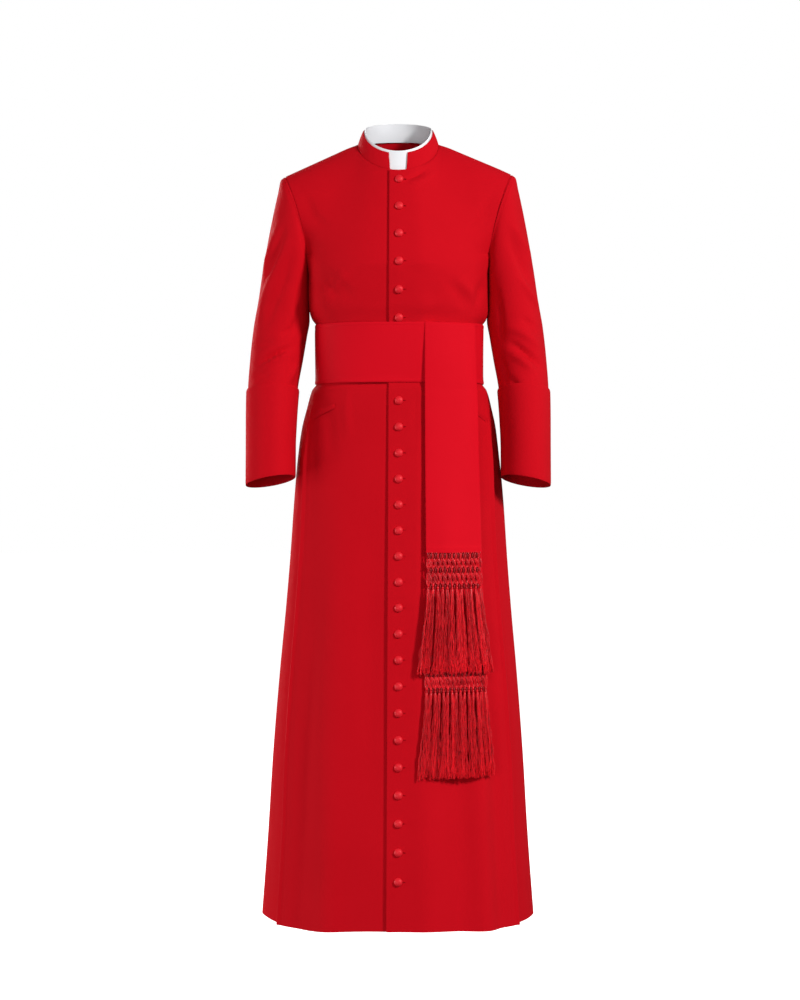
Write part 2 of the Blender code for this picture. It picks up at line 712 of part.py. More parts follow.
def flat_fringe():
    """Net heading, tassel heads and strands in one closed mesh: x across, y up to 0, z outwards."""
    pitch = NET_WIDTH / TASSELS
    head_foot = -NET_HEIGHT - NECK_LENGTH - HEAD_LENGTH
    rng = random.Random(FRINGE_SEED)
    index, points, faces = {}, [], []

    def corner(x, y):
        key = (round(x, 3), round(y, 3))
        if key not in index:
            index[key] = len(points)
            points.extend([(x, y, half_depth(y)), (x, y, -half_depth(y))])
        return index[key]

    outlines = [[corner(x, y) for x, y in face] for face in net_faces(pitch)]
    edges = {(a, b) for face in outlines for a, b in zip(face, face[1:] + face[:1])}
    for face in outlines:
        faces.append(face)
        faces.append([k + 1 for k in reversed(face)])
    for a, b in sorted(edges):
        if (b, a) in edges:
            continue
        root = [a, a + 1, b + 1, b]
        if abs(points[a][1] - head_foot) > 0.001 or abs(points[b][1] - head_foot) > 0.001:
            faces.append(root)
            continue
        x = (points[a][0] + points[b][0]) / 2.0
        tip_x = mix(NET_WIDTH / 2.0, x + (x - pitch * (floor(x / pitch) + 0.5)) * STRAND_FAN, FRINGE_SPREAD)
        tip_y = head_foot - STRAND_LENGTH + rng.uniform(0.0, STRAND_UNEVEN)
        tip_z = rng.uniform(-STRAND_WAVER, STRAND_WAVER)
        w, d = STRAND_WIDTH / 2.0, STRAND_DEPTH / 2.0
        tip = [len(points) + k for k in range(4)]
        points.extend([(tip_x - w, tip_y, tip_z + d), (tip_x - w, tip_y, tip_z - d),
                       (tip_x + w, tip_y, tip_z - d), (tip_x + w, tip_y, tip_z + d)])
        for k in range(4):
            n = (k + 1) % 4
            faces.append([root[k], root[n], tip[n], tip[k]])
        faces.append(tip)
    return points, faces


def make_fringe(name, cloth_foot, stand):
    """The fringe laid round the skirt under the foot of a hanging end."""
    points, faces = flat_fringe()
    top = cloth_foot - SEAM_GAP
    middle = stand + HEAD_DEPTH / 2.0
    mesh = bpy.data.meshes.new(name)
    mesh.from_pydata([tail_point(x / NET_WIDTH, top + y, middle + z) * MM for x, y, z in points], [], faces)
    return place(name, mesh, FRINGE)


# ---------------------------------------------------------------- the whole garment

def clear_scene():
    for item in list(bpy.data.objects):
        bpy.data.objects.remove(item)
    for group in list(bpy.data.collections):
        bpy.data.collections.remove(group)
    bpy.context.scene.collection.children.link(bpy.data.collections.new("cassock"))


def build():
    clear_scene()
    make_front("front_left", over=True, mirrored=False)
    make_front("front_right", over=False, mirrored=True)
    for side, mirrored in (("left", False), ("right", True)):
        make_side("side_" + side, mirrored)
        make_back("back_" + side, mirrored)
        make_sleeve("sleeve_" + side, mirrored)
        make_cuff("cuff_" + side, mirrored)
        make_pocket_welt("pocket_welt_" + side, mirrored)
    make_collar()
    make_collar_liner()
    make_band()
    make_tail("sash_tail_back", BACK_TAIL_FOOT, BACK_TAIL_STAND)
    make_tail("sash_tail_front", FRONT_TAIL_FOOT, FRONT_TAIL_STAND)
    make_fringe("sash_fringe_back", BACK_TAIL_FOOT, BACK_TAIL_STAND)
    make_fringe("sash_fringe_front", FRONT_TAIL_FOOT, FRONT_TAIL_STAND)
    for k, height in enumerate(button_heights(), start=1):
        make_button("button_%02d" % k, height)


build()
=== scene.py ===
from math import pi, radians

import bpy
import numpy as np
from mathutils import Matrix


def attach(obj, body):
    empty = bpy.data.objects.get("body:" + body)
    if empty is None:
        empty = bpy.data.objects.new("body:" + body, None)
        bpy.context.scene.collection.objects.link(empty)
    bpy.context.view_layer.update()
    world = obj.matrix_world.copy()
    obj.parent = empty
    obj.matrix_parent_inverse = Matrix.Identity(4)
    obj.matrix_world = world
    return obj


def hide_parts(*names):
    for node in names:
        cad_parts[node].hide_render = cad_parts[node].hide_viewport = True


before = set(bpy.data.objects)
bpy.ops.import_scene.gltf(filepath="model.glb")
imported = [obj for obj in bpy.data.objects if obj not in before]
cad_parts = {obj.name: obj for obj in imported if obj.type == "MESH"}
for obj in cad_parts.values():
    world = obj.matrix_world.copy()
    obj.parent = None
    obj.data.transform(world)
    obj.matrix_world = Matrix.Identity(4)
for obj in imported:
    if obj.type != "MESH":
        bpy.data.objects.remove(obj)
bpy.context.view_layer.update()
print("frame loaded:", len(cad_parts), "nodes")

mm = 0.001


# Shader building: sockets that take Python arithmetic, and one method that adds any node.

class Wire:
    def __init__(self, finish, socket):
        self.finish, self.socket = finish, socket

    def math(self, operation, first, second):
        return self.finish.node("ShaderNodeMath", {"operation": operation}, {0: first, 1: second})

    def __add__(self, other):
        return self.math("ADD", self, other)

    def __radd__(self, other):
        return self.math("ADD", other, self)

    def __sub__(self, other):
        return self.math("SUBTRACT", self, other)

    def __rsub__(self, other):
        return self.math("SUBTRACT", other, self)

    def __mul__(self, other):
        return self.math("MULTIPLY", self, other)

    def __rmul__(self, other):
        return self.math("MULTIPLY", other, self)

    def of(self, operation, other=0.0):
        return self.math(operation, self, other)


class Finish:
    def __init__(self, name):
        self.material = bpy.data.materials.new(name)
        self.material.use_nodes = True
        self.tree = self.material.node_tree
        self.shader = self.tree.nodes["Principled BSDF"]

    def node(self, kind, settings=None, values=None, output=0):
        made = self.tree.nodes.new(kind)
        for key, value in (settings or {}).items():
            setattr(made, key, value)
        for key, value in (values or {}).items():
            self.feed(made.inputs[key], value)
        return Wire(self, made.outputs[output])

    def feed(self, socket, value):
        if isinstance(value, Wire):
            self.tree.links.new(value.socket, socket)
        elif isinstance(value, tuple) and len(value) == 3 and socket.type == "RGBA":
            socket.default_value = (*value, 1.0)
        else:
            socket.default_value = value

    def set(self, **values):
        for name, value in values.items():
            self.feed(self.shader.inputs[name.replace("_", " ")], value)

    def coords(self, which):
        return self.node("ShaderNodeTexCoord", output={"Object": 3, "UV": 2}[which])

    def split(self, vector):
        made = self.tree.nodes.new("ShaderNodeSeparateXYZ")
        self.tree.links.new(vector.socket, made.inputs[0])
        return [Wire(self, made.outputs[k]) for k in range(3)]

    def noise(self, vector, scale, detail=2.0, rough=0.5):
        values = {"Vector": vector, "Scale": scale, "Detail": detail, "Roughness": rough}
        return self.node("ShaderNodeTexNoise", None, values)

    def drawnNoise(self, vector, scales, detail):
        drawn = self.node("ShaderNodeVectorMath", {"operation": "MULTIPLY"}, {0: vector, 1: scales})
        return self.noise(drawn, 1.0, detail)

    def blend(self, factor, look):
        values = {0: factor, 6: look["deep"], 7: look["bright"]}
        return self.node("ShaderNodeMix", {"data_type": "RGBA"}, values, output=2)

    def gloss(self, pattern, look):
        return pattern * look["roughSpread"] + (look["roughness"] - 0.5 * look["roughSpread"])

    def relief(self, height, look):
        values = {"Strength": look["bump"], "Distance": look["bumpDepth"], "Height": height}
        return self.node("ShaderNodeBump", None, values)

    def setSheen(self, look):
        self.set(Sheen_Weight=look["sheen"], Sheen_Roughness=look["sheenRoughness"])
        self.set(Sheen_Tint=look["sheenTint"])

    def setSpecular(self, look):
        self.set(Specular_IOR_Level=look["specular"], Specular_Tint=look["specularTint"])


def wave(value, period):
    return (value * (2.0 * pi / period)).of("SINE") * 0.5 + 0.5


def woolFinish(name, look):
    f = Finish(name)
    place = f.coords("Object")
    u, v, _ = f.split(f.coords("UV"))
    cloud = f.noise(place, look["cloudScale"], look["cloudDetail"])
    fibre = f.noise(place, look["fibreScale"], rough=look["fibreRough"])
    twill = wave(u + v, look["twillPitch"])
    weft = wave(u - v * look["weftSlant"], look["twillPitch"] * look["weftPitch"])
    f.set(Base_Color=f.blend(cloud * 0.6 + fibre * 0.3 + twill * 0.1, look), Roughness=f.gloss(fibre, look))
    f.set(Normal=f.relief(twill * 0.6 + weft * 0.25 + fibre * 0.5, look))
    f.setSheen(look)
    f.setSpecular(look)
    return f.material


def silkFinish(name, look):
    f = Finish(name)
    uv = f.coords("UV")
    v = f.split(uv)[1]
    cloud = f.noise(f.coords("Object"), look["cloudScale"])
    slub = f.drawnNoise(uv, look["slubScales"], 2.0)
    rib = wave(v + (slub - 0.5) * (look["ribPitch"] * look["ribWander"]), look["ribPitch"])
    f.set(Base_Color=f.blend(cloud * 0.6 + slub * 0.25 + rib * 0.15, look), Roughness=f.gloss(slub, look))
    f.set(Normal=f.relief(rib * 0.8 + slub * 0.3, look))
    f.setSheen(look)
    f.setSpecular(look)
    return f.material


def threadFinish(name, look):
    f = Finish(name)
    tone = f.node("ShaderNodeAttribute", {"attribute_name": "tone"}, output=2)
    strand = f.drawnNoise(f.coords("Object"), look["strandScales"], 1.0)
    shade = tone * look["toneShare"] + (strand - 0.5) * look["strandShare"] + look["toneBase"]
    f.set(Base_Color=f.blend(shade, look), Roughness=f.gloss(strand, look), Normal=f.relief(strand, look))
    f.set(Sheen_Weight=look["sheen"])
    f.setSpecular(look)
    return f.material


def linenFinish(name, look):
    f = Finish(name)
    grain = f.noise(f.coords("Object"), look["grainScale"])
    f.set(Base_Color=f.blend(grain, look), Roughness=f.gloss(grain, look), Normal=f.relief(grain, look))
    return f.material


woolLook = {
    "deep": (0.50, 0.0030, 0.0085), "bright": (0.60, 0.0042, 0.0120),
    "cloudScale": 7.0, "cloudDetail": 3.0, "fibreScale": 900.0, "fibreRough": 0.7,
    "twillPitch": 0.0011, "weftPitch": 0.72, "weftSlant": 0.35, "roughness": 0.78, "roughSpread": 0.12,
    "sheen": 0.05, "sheenRoughness": 0.45, "sheenTint": (1.0, 0.10, 0.10),
    "specular": 0.06, "specularTint": (1.0, 0.4, 0.4), "bump": 0.35, "bumpDepth": 0.00025,
}
silkLook = {
    "deep": (0.60, 0.0036, 0.0115), "bright": (0.69, 0.0055, 0.0160),
    "cloudScale": 6.0, "slubScales": (60.0, 900.0, 1.0), "ribPitch": 0.0012, "ribWander": 0.5,
    "roughness": 0.58, "roughSpread": 0.14,
    "sheen": 0.01, "sheenRoughness": 0.35, "sheenTint": (1.0, 0.12, 0.12),
    "specular": 0.06, "specularTint": (1.0, 0.16, 0.18), "bump": 0.3, "bumpDepth": 0.0002,
}
fringeLook = {
    "deep": (0.25, 0.0012, 0.0038), "bright": (0.98, 0.0090, 0.0210),
    "strandScales": (800.0, 800.0, 260.0), "toneShare": 0.6, "strandShare": 0.9, "toneBase": 0.2,
    "roughness": 0.36, "roughSpread": 0.2, "sheen": 0.0,
    "specular": 0.55, "specularTint": (1.0, 0.36, 0.38), "bump": 0.5, "bumpDepth": 0.0003,
}
buttonLook = dict(
    woolLook, deep=(0.68, 0.010, 0.020), bright=(0.80, 0.016, 0.030),
    roughness=0.44, specular=0.50, twillPitch=0.0009, bump=0.12,
)
linenLook = {
    "deep": (0.80, 0.81, 0.84), "bright": (0.88, 0.89, 0.91), "grainScale": 700.0,
    "roughness": 0.47, "roughSpread": 0.1, "bump": 0.15, "bumpDepth": 0.0002,
}
# The buttonhole slit colour is painted shade: a dark red wool laid where the cut only holds shade.
slitShadeLook = dict(woolLook, deep=(0.20, 0.001, 0.003), bright=(0.28, 0.001, 0.005), sheen=0.0)

wool = woolFinish("wool_cloth", woolLook)
silk = silkFinish("sash_cloth", silkLook)
thread = threadFinish("fringe_thread", fringeLook)
buttonCloth = woolFinish("button_cloth", buttonLook)
linen = linenFinish("collar_band", linenLook)
slitShadeCloth = woolFinish("slit_shade", slitShadeLook)
print("finishes made")


# Numbers along tables, and grids of points in millimetres.

def alongTable(rows, at):  # a smooth curve through the rows that never overshoots them
    rows = np.array(rows, float)
    rows = rows[np.argsort(rows[:, 0])]
    x, y = rows[:, 0], rows[:, 1:]
    at = np.asarray(at, float)
    gap = np.diff(x)
    slope = np.diff(y, axis=0) / gap[:, None]
    lean = np.vstack([slope[:1], np.zeros_like(slope[1:]), slope[-1:]])
    both = slope[1:] * slope[:-1]
    lean[1:-1] = np.where(both > 0.0, 2.0 * both / np.where(both > 0.0, slope[1:] + slope[:-1], 1.0), 0.0)
    k = np.clip(np.searchsorted(x, at) - 1, 0, len(x) - 2)
    h = gap[k][..., None]
    t = np.clip((at - x[k]) / gap[k], 0.0, 1.0)[..., None]
    start, end = (2 * t**3 - 3 * t**2 + 1) * y[k], (3 * t**2 - 2 * t**3) * y[k + 1]
    return start + end + h * ((t**3 - 2 * t**2 + t) * lean[k] + (t**3 - t**2) * lean[k + 1])


def mix(first, last, share):
    return first + (last - first) * share


def ramp(value, start, full):
    return np.clip((value - start) / (full - start), 0.0, 1.0)


def smooth(share):
    share = np.clip(share, 0.0, 1.0)
    return share * share * (3.0 - 2.0 * share)


def hump(value, centre, width):
    return np.exp(-((value - centre) / width) ** 2)


def point(x, y, z):
    return np.stack(np.broadcast_arrays(x, y, z), -1).astype(float)


def spaced(start, end, step, fine=(), reach=6.0):  # even steps, with closer ones round the fine places
    values = list(np.arange(start, end, step)) + [end]
    for centre in fine:
        values += list(np.arange(centre - reach, centre + reach, reach / 5.0))
    values = np.unique(np.round(values, 3))
    return values[(values >= start) & (values <= end)]


def gridNormals(p, closed):
    q = np.concatenate([p[:, -2:], p, p[:, :2]], axis=1) if closed else p
    across = np.gradient(q, axis=1)
    up = np.gradient(q, axis=0)
    if closed:
        across, up = across[:, 2:-2], up[:, 2:-2]
    n = np.cross(across, up)
    return n / np.maximum(np.linalg.norm(n, axis=-1, keepdims=True), 1e-9)


def inScene(name, mesh):
    piece = bpy.data.objects.new(name, mesh)
    bpy.context.scene.collection.objects.link(piece)
    return piece


def settle(piece):  # what the modifiers make becomes the piece's own mesh
    result = bpy.data.meshes.new_from_object(piece.evaluated_get(bpy.context.evaluated_depsgraph_get()))
    piece.modifiers.clear()
    old = piece.data
    piece.data = result
    bpy.data.meshes.remove(old)
    result.name = piece.name


def clothMesh(name, p, wall, outward, material, closed=False, mirrored=False, grain=0):
    rows, columns = p.shape[:2]
    if mirrored:
        p = p * np.array([-1.0, 1.0, 1.0])
    step = np.linalg.norm(np.diff(p, axis=1), axis=-1)
    u = np.concatenate([np.zeros((rows, 1)), np.cumsum(step, axis=1)], axis=1)
    u = u - u[:, grain:grain + 1]  # the weave runs straight down this column
    if closed:
        u = np.concatenate([u, u[:, -1:] + np.linalg.norm(p[:, :1] - p[:, -1:], axis=-1)], axis=1)
    rise = np.linalg.norm(np.diff(p, axis=0), axis=-1)
    v = np.concatenate([np.zeros((1, columns)), np.cumsum(rise, axis=0)], axis=0)
    r, c = np.meshgrid(np.arange(rows - 1), np.arange(columns if closed else columns - 1), indexing="ij")
    n = (c + 1) % columns
    faces = np.stack([r * columns + c, r * columns + n, (r + 1) * columns + n, (r + 1) * columns + c], -1)
    faces = faces.reshape(-1, 4)
    wrap = np.stack([c, c + 1, c + 1, c], -1).reshape(-1, 4)
    if mirrored:
        faces, wrap = faces[:, ::-1], wrap[:, ::-1]
    mesh = bpy.data.meshes.new(name)
    mesh.from_pydata((p.reshape(-1, 3) * mm).tolist(), [], faces.tolist())
    layer = mesh.uv_layers.new(name="cloth")
    uv = np.stack([u[faces // columns, wrap], v.reshape(-1)[faces]], -1).reshape(-1, 2) * mm
    layer.data.foreach_set("uv", uv.astype(np.float32).ravel())
    mesh.materials.append(material)
    piece = inScene(name, mesh)
    shell = piece.modifiers.new("wall", "SOLIDIFY")
    shell.thickness = wall * mm
    shell.offset = 1.0 if outward else -1.0
    settle(piece)
    piece.data.shade_smooth()
    piece.data.set_sharp_from_angle(angle=radians(50.0))
    return piece


# Creases: troughs and ridges along paths drawn in front view.

def lineDistance(x, z, path):
    near = np.full(x.shape, 1e9)
    side = np.zeros(x.shape)
    along = np.zeros(x.shape)
    path = np.array(path, float)
    lengths = np.linalg.norm(np.diff(path, axis=0), axis=1)
    starts = np.concatenate([[0.0], np.cumsum(lengths)])
    for k, length in enumerate(lengths):
        ax, az = path[k]
        dx, dz = (path[k + 1] - path[k]) / length
        t = np.clip((x - ax) * dx + (z - az) * dz, 0.0, length)
        d = np.hypot(x - ax - t * dx, z - az - t * dz)
        closer = d < near
        near = np.where(closer, d, near)
        side = np.where(closer, np.sign(dx * (z - az) - dz * (x - ax)), side)
        along = np.where(closer, (starts[k] + t) / starts[-1], along)
    return near, side, along


def creased(p, creases, closed=False, fade=1.0):
    n = gridNormals(p, closed)
    lift = np.zeros(p.shape[:2])
    for facing, path, left, right, height in creases:
        near, side, along = lineDistance(p[..., 0], p[..., 2], path)
        width = np.where(side > 0.0, left, right)
        taper = np.sin(pi * np.clip(along, 0.02, 0.98)) ** 0.7
        gate = smooth(ramp(n[..., 1] * -facing, 0.05, 0.45))  # only on the side that it faces
        lift += height * hump(near, 0.0, width) * taper * gate
    return p + n * (lift * fade)[..., None]


# The body's form. Rings: height, half width, front depth, back depth, squareness, turns of the two seams.

body = {
    "rings": [
        (-1455, 252.8, 218, 233, 2.05, 61, 118), (-1300, 242.6, 203, 215, 2.05, 61, 118),
        (-1150, 233.8, 187, 196, 2.08, 62, 118), (-1000, 222.4, 171, 178, 2.10, 62, 117),
        (-880, 211.4, 159, 164, 2.12, 62, 117), (-770, 202.4, 147, 150, 2.15, 62, 116),
        (-680, 196.0, 138, 138, 2.20, 63, 115), (-600, 189.3, 129, 127, 2.25, 65, 113),
        (-540, 181.5, 123, 117, 2.30, 67, 111), (-500, 171.7, 119, 110, 2.40, 69, 110),
        (-466, 162.0, 116, 103, 2.50, 71, 108), (-453, 153.6, 112, 98, 2.60, 73, 107),
        (-395, 153.6, 112, 98, 2.60, 73, 107), (-342.5, 153.6, 112, 98, 2.60, 74, 106),
        (-328, 162.5, 114, 103, 2.50, 74, 106), (-314, 166.8, 118, 106, 2.50, 75, 105),
        (-290, 168.4, 121, 108, 2.50, 75, 105), (-245, 168.8, 128, 112, 2.50, 76, 104),
    ],
    "hem": -1455.0, "chest": -245.0, "wall": 1.8, "hipFrom": -490.0, "waistEdges": (-459.0, -335.0),
    "neckHalf": 77.5, "neckFront": 79.0, "neckBack": 66.0,
    "neckDrop": 56.0, "neckRise": 16.0, "neckShare": 0.5,
    "tipOut": 213.0, "tipHeight": -62.0, "armpitOut": 170.0, "armpitHeight": -232.0,
    "armholeHalf": 57.0, "armholeFlare": 1.7, "lowTurn": 140.0, "archSteps": 7.0,
    "archNeck": 1.45, "archTip": 2.0, "archBack": 2.2, "centreCurve": 1.7,
}


def outline(ring, turn):
    s, c = np.sin(np.radians(turn)), np.cos(np.radians(turn))
    k = 2.0 / ring[..., 3]
    depth = np.where(c >= 0.0, -ring[..., 1], ring[..., 2])
    return ring[..., 0] * np.abs(s) ** k * np.sign(s), depth * np.abs(c) ** k


def bodyPoint(height, turn, out=0.0):  # turn runs from 0 at the front through 90 at the wearer's left
    height, turn = np.broadcast_arrays(np.asarray(height, float), np.asarray(turn, float))
    ring = alongTable(body["rings"], height)
    x, y = outline(ring, turn)
    ax, ay = outline(ring, turn + 0.5)
    bx, by = outline(ring, turn - 0.5)
    size = np.hypot(ax - bx, ay - by)
    return point(x + out * (ay - by) / size, y - out * (ax - bx) / size, height)


def seamTurn(height, which):
    return alongTable(body["rings"], height)[..., 4 if which == "front" else 5]


def halfWidthAt(height):
    return alongTable(body["rings"], height)[..., 0]


def neckPoint(facing, turn):
    s, c = np.sin(np.radians(turn)), np.cos(np.radians(turn))
    depth = body["neckFront"] if facing < 0 else body["neckBack"]
    rise = -body["neckDrop"] if facing < 0 else body["neckRise"]
    return point(body["neckHalf"] * s, facing * depth * c, rise * c)


def topEdge(facing, share):  # round the neck, then out along the shoulder
    neck = neckPoint(facing, 90.0 * np.clip(share / body["neckShare"], 0.0, 1.0))
    out = np.clip((share - body["neckShare"]) / (1.0 - body["neckShare"]), 0.0, 1.0)
    shoulder = point(mix(body["neckHalf"], body["tipOut"], out), 0.0 * out, body["tipHeight"] * out)
    return np.where((share <= body["neckShare"])[..., None], neck, shoulder)


def armholePoint(turn):
    lift = (1.0 + np.cos(np.radians(turn))) / 2.0
    x = mix(body["armpitOut"], body["tipOut"], lift ** body["armholeFlare"])
    z = mix(body["armpitHeight"], body["tipHeight"], lift)
    return point(x, -body["armholeHalf"] * np.sin(np.radians(turn)), z)


def archPoint(facing, share, step):  # step runs from 0 at the chest ring to 1 at the top edge
    share, step = np.broadcast_arrays(np.asarray(share, float), np.asarray(step, float))
    angle = step * pi / 2.0
    seam = float(seamTurn(body["chest"], "front" if facing < 0 else "back"))

    def arch(at):
        turn = at * seam if facing < 0 else 180.0 - at * (180.0 - seam)
        base, top = bodyPoint(body["chest"], turn), topEdge(facing, at)
        roundness = body["archBack"]
        if facing < 0:
            roundness = mix(body["archNeck"], body["archTip"], ramp(at, body["neckShare"], 1.0))
        rise, fall = np.sin(angle) ** (2.0 / roundness), np.abs(np.cos(angle)) ** (2.0 / roundness)
        depth = mix(1.0 - rise ** body["centreCurve"], fall, smooth(at / body["neckShare"]))
        x, z = mix(base[..., 0], top[..., 0], rise), mix(base[..., 2], top[..., 2], rise)
        return point(x, mix(top[..., 1], base[..., 1], depth), z)

    down = (1.0 - step) * body["archSteps"] / (body["archSteps"] - 1.0)
    low = body["lowTurn"] * np.clip(down, 0.0, 1.0)
    hole = armholePoint(low if facing < 0 else -low)
    weight = np.clip(step * body["archSteps"], 0.0, 1.0) * share ** 3
    return arch(share) + (hole - arch(np.ones_like(share))) * weight[..., None]


# Soft folds of the skirt and small unevenness all round, as movement out of the surface.

folds = {
    "from": -470.0, "side": 5.0, "sideWaves": 3.0, "sideEase": 2.5, "back": 14.0, "backWaves": 4.0,
    "front": [  # turn at the hem, drift per metre up, half width, height, where it starts and is full
        (13.0, 3.0, 6.0, 4.4, -840, -1300), (27.5, 2.0, 8.5, -10.0, -780, -1250),
        (39.0, 0.0, 5.5, 5.0, -900, -1300), (49.0, -3.0, 5.0, -4.6, -650, -1100),
        (-12.0, 0.0, 7.0, -4.6, -560, -1000), (-30.0, 2.0, 11.0, 5.2, -520, -900),
        (-46.0, 3.0, 6.0, -6.2, -700, -1200), (-21.0, -2.0, 5.0, -3.6, -1050, -1400),
        (-38.0, 0.0, 4.5, -3.2, -1100, -1400),
    ],
    "driftFull": -700.0,
    "drift": [  # waves round the body, height for each radian, phase, size
        (2, 310.0, 0.4, 0.9), (5, 240.0, 2.1, 0.7), (9, 190.0, 4.0, 0.45), (14, 410.0, 1.2, 0.3),
    ],
}


def growth(height):
    return ramp(height, folds["from"], body["hem"])


def drift(turn, height):
    around = np.radians(turn)
    total = 0.0
    for count, length, phase, size in folds["drift"]:
        total = total + size * np.sin(count * around + height / length + phase)
    return total * smooth(ramp(height, body["hipFrom"], folds["driftFull"]))


def unevenness(turn, height):
    around = np.radians(turn)
    return 1.0 + 0.16 * np.sin(2.0 * around + 0.7) + 0.12 * np.sin(3.0 * around + height / 300.0)


def frontFold(turn, height):
    lift = 0.0
    for centre, lean, width, size, start, full in folds["front"]:
        middle = centre + lean * (height - body["hem"]) / 1000.0
        lift = lift + size * hump(turn, middle, width) * smooth(ramp(height, start, full))
    return lift


def sideFold(share, turn, height):
    reach = mix(folds["side"], folds["back"], share * share) * np.minimum(1.0, folds["sideEase"] * share)
    swing = np.cos(folds["sideWaves"] * pi * (1.0 - share))
    return reach * swing * growth(height) * unevenness(turn, height)


def backFold(share, turn, height):
    swing = np.cos(folds["backWaves"] * pi * share)
    return folds["back"] * growth(height) * swing * unevenness(turn, height)


# Creases of the body: facing, path of x and z, half width on its left and on its right, height.

bodyCreases = [
    (1, [(-150, -310), (-128, -285), (-92, -250)], 13, 9, 3.0),  # under the wearer's right arm
    (1, [(-158, -268), (-132, -262), (-110, -300)], 8, 12, -2.6),
    (1, [(-146, -245), (-120, -258), (-84, -300)], 10, 14, -1.8),
    (1, [(152, -318), (138, -290), (112, -262)], 9, 12, 2.8),  # under the left arm
    (1, [(160, -262), (146, -292), (140, -325)], 9, 9, -2.8),
    (1, [(128, -318), (112, -288), (88, -262)], 10, 12, -1.6),
    (1, [(-176, -98), (-158, -140), (-128, -170)], 9, 16, -1.6),  # at the shoulders
    (1, [(-186, -84), (-160, -92), (-120, -96)], 10, 12, 1.0),
    (1, [(176, -98), (158, -142), (132, -176)], 14, 9, -1.4),
    (1, [(15, -76), (36, -66), (50, -56)], 5, 4, -2.3),  # from the first button to the collar
    (1, [(18, -86), (44, -78), (66, -60)], 6, 5, 1.4),
    (1, [(-60, -320), (-40, -305), (-20, -300)], 8, 8, -0.7),  # over the sash
    (1, [(40, -322), (66, -306), (90, -300)], 8, 8, 0.8),
    (-1, [(-160, -180), (-120, -215), (-60, -290)], 16, 11, -3.2),  # behind
    (-1, [(-150, -225), (-110, -262), (-70, -320)], 10, 14, 2.8),
    (-1, [(158, -176), (124, -220), (70, -296)], 11, 16, -3.0),
    (-1, [(150, -232), (104, -268), (62, -322)], 14, 10, 2.4),
    (-1, [(-120, -90), (-60, -84), (0, -92), (64, -86), (118, -94)], 14, 10, -1.2),
    (-1, [(-96, -330), (-80, -290), (-84, -250)], 8, 8, -1.8),
    (-1, [(92, -330), (84, -286), (90, -246)], 8, 8, -1.8),
    (-1, [(-30, -332), (-26, -280), (-34, -210)], 12, 12, 1.6),
    (-1, [(36, -332), (30, -286), (38, -226)], 12, 12, 1.4),
    (1, [(-150, -474), (-128, -520), (-120, -600)], 12, 12, -1.2),  # below the sash
    (1, [(-92, -462), (-96, -500), (-90, -560)], 7, 9, 1.2),
    (1, [(30, -462), (34, -500), (30, -560)], 8, 8, -0.8),
    (1, [(128, -540), (118, -620), (120, -720)], 14, 10, -1.4),
    (-1, [(-110, -462), (-104, -540), (-98, -640)], 10, 12, -3.0),  # below the sash, behind
    (-1, [(-60, -462), (-62, -530), (-70, -620)], 10, 10, 2.4),
    (-1, [(-20, -462), (-24, -520), (-30, -600)], 9, 9, -2.2),
    (-1, [(28, -462), (30, -530), (36, -640)], 10, 9, -2.4),
    (-1, [(72, -462), (78, -520), (80, -600)], 10, 12, 2.2),
    (-1, [(120, -462), (112, -540), (110, -640)], 11, 10, -2.8),
]


def bodyCreased(p, mirrored, fade):
    creases = bodyCreases
    if mirrored:
        creases = []
        for facing, path, left, right, height in bodyCreases:
            creases.append((facing, [(-x, z) for x, z in path], right, left, height))
    return creased(p, creases, fade=fade)


# How the garment is worn: the left shoulder higher, the hem's front corners lower, the left waist further out.

posture = {
    "rightRise": 2.0, "leftRise": 3.0, "leftTipRise": 3.2, "hemFrom": -1330.0, "hemDrop": 2.6,
    "cornerDrop": 7.0, "cornerTurn": 47.0, "cornerWidth": 24.0, "cornerStep": 0.6,
    "sideRise": 5.0, "sideTurn": 92.0, "sideWidth": 26.0, "waistOut": 4.2,
}


def shoulderSet(p, mirrored):
    p = p.copy()
    rise = posture["rightRise"]
    if not mirrored:
        rise = posture["leftRise"] + posture["leftTipRise"] * ramp(p[..., 0], 100.0, 190.0)
    p[..., 2] += rise * smooth(ramp(p[..., 0], 70.0, 100.0)) * smooth(ramp(p[..., 2], -250.0, -90.0))
    return p


def hemSet(p):
    p = p.copy()
    front = smooth(ramp(-p[..., 1], 0.0, 90.0)) * smooth(ramp(p[..., 2], posture["hemFrom"], body["hem"]))
    turn = np.degrees(np.arctan2(np.abs(p[..., 0]), -p[..., 1]))
    corner = posture["cornerDrop"] * hump(turn, posture["cornerTurn"], posture["cornerWidth"])
    p[..., 2] -= front * (posture["hemDrop"] + corner)
    side = posture["sideRise"] * hump(turn, posture["sideTurn"], posture["sideWidth"])
    p[..., 2] += side * smooth(ramp(p[..., 2], posture["hemFrom"], body["hem"]))
    return p


def waistSet(p, mirrored):
    if not mirrored:
        high = smooth(ramp(p[..., 2], -290.0, -340.0)) * smooth(ramp(p[..., 2], -600.0, -470.0))
        p[..., 0] += posture["waistOut"] * high * smooth(ramp(p[..., 0], 60.0, 150.0))
    return p


# Panels: fronts with the lap and the pressed folds, sides tucked behind them, and backs.

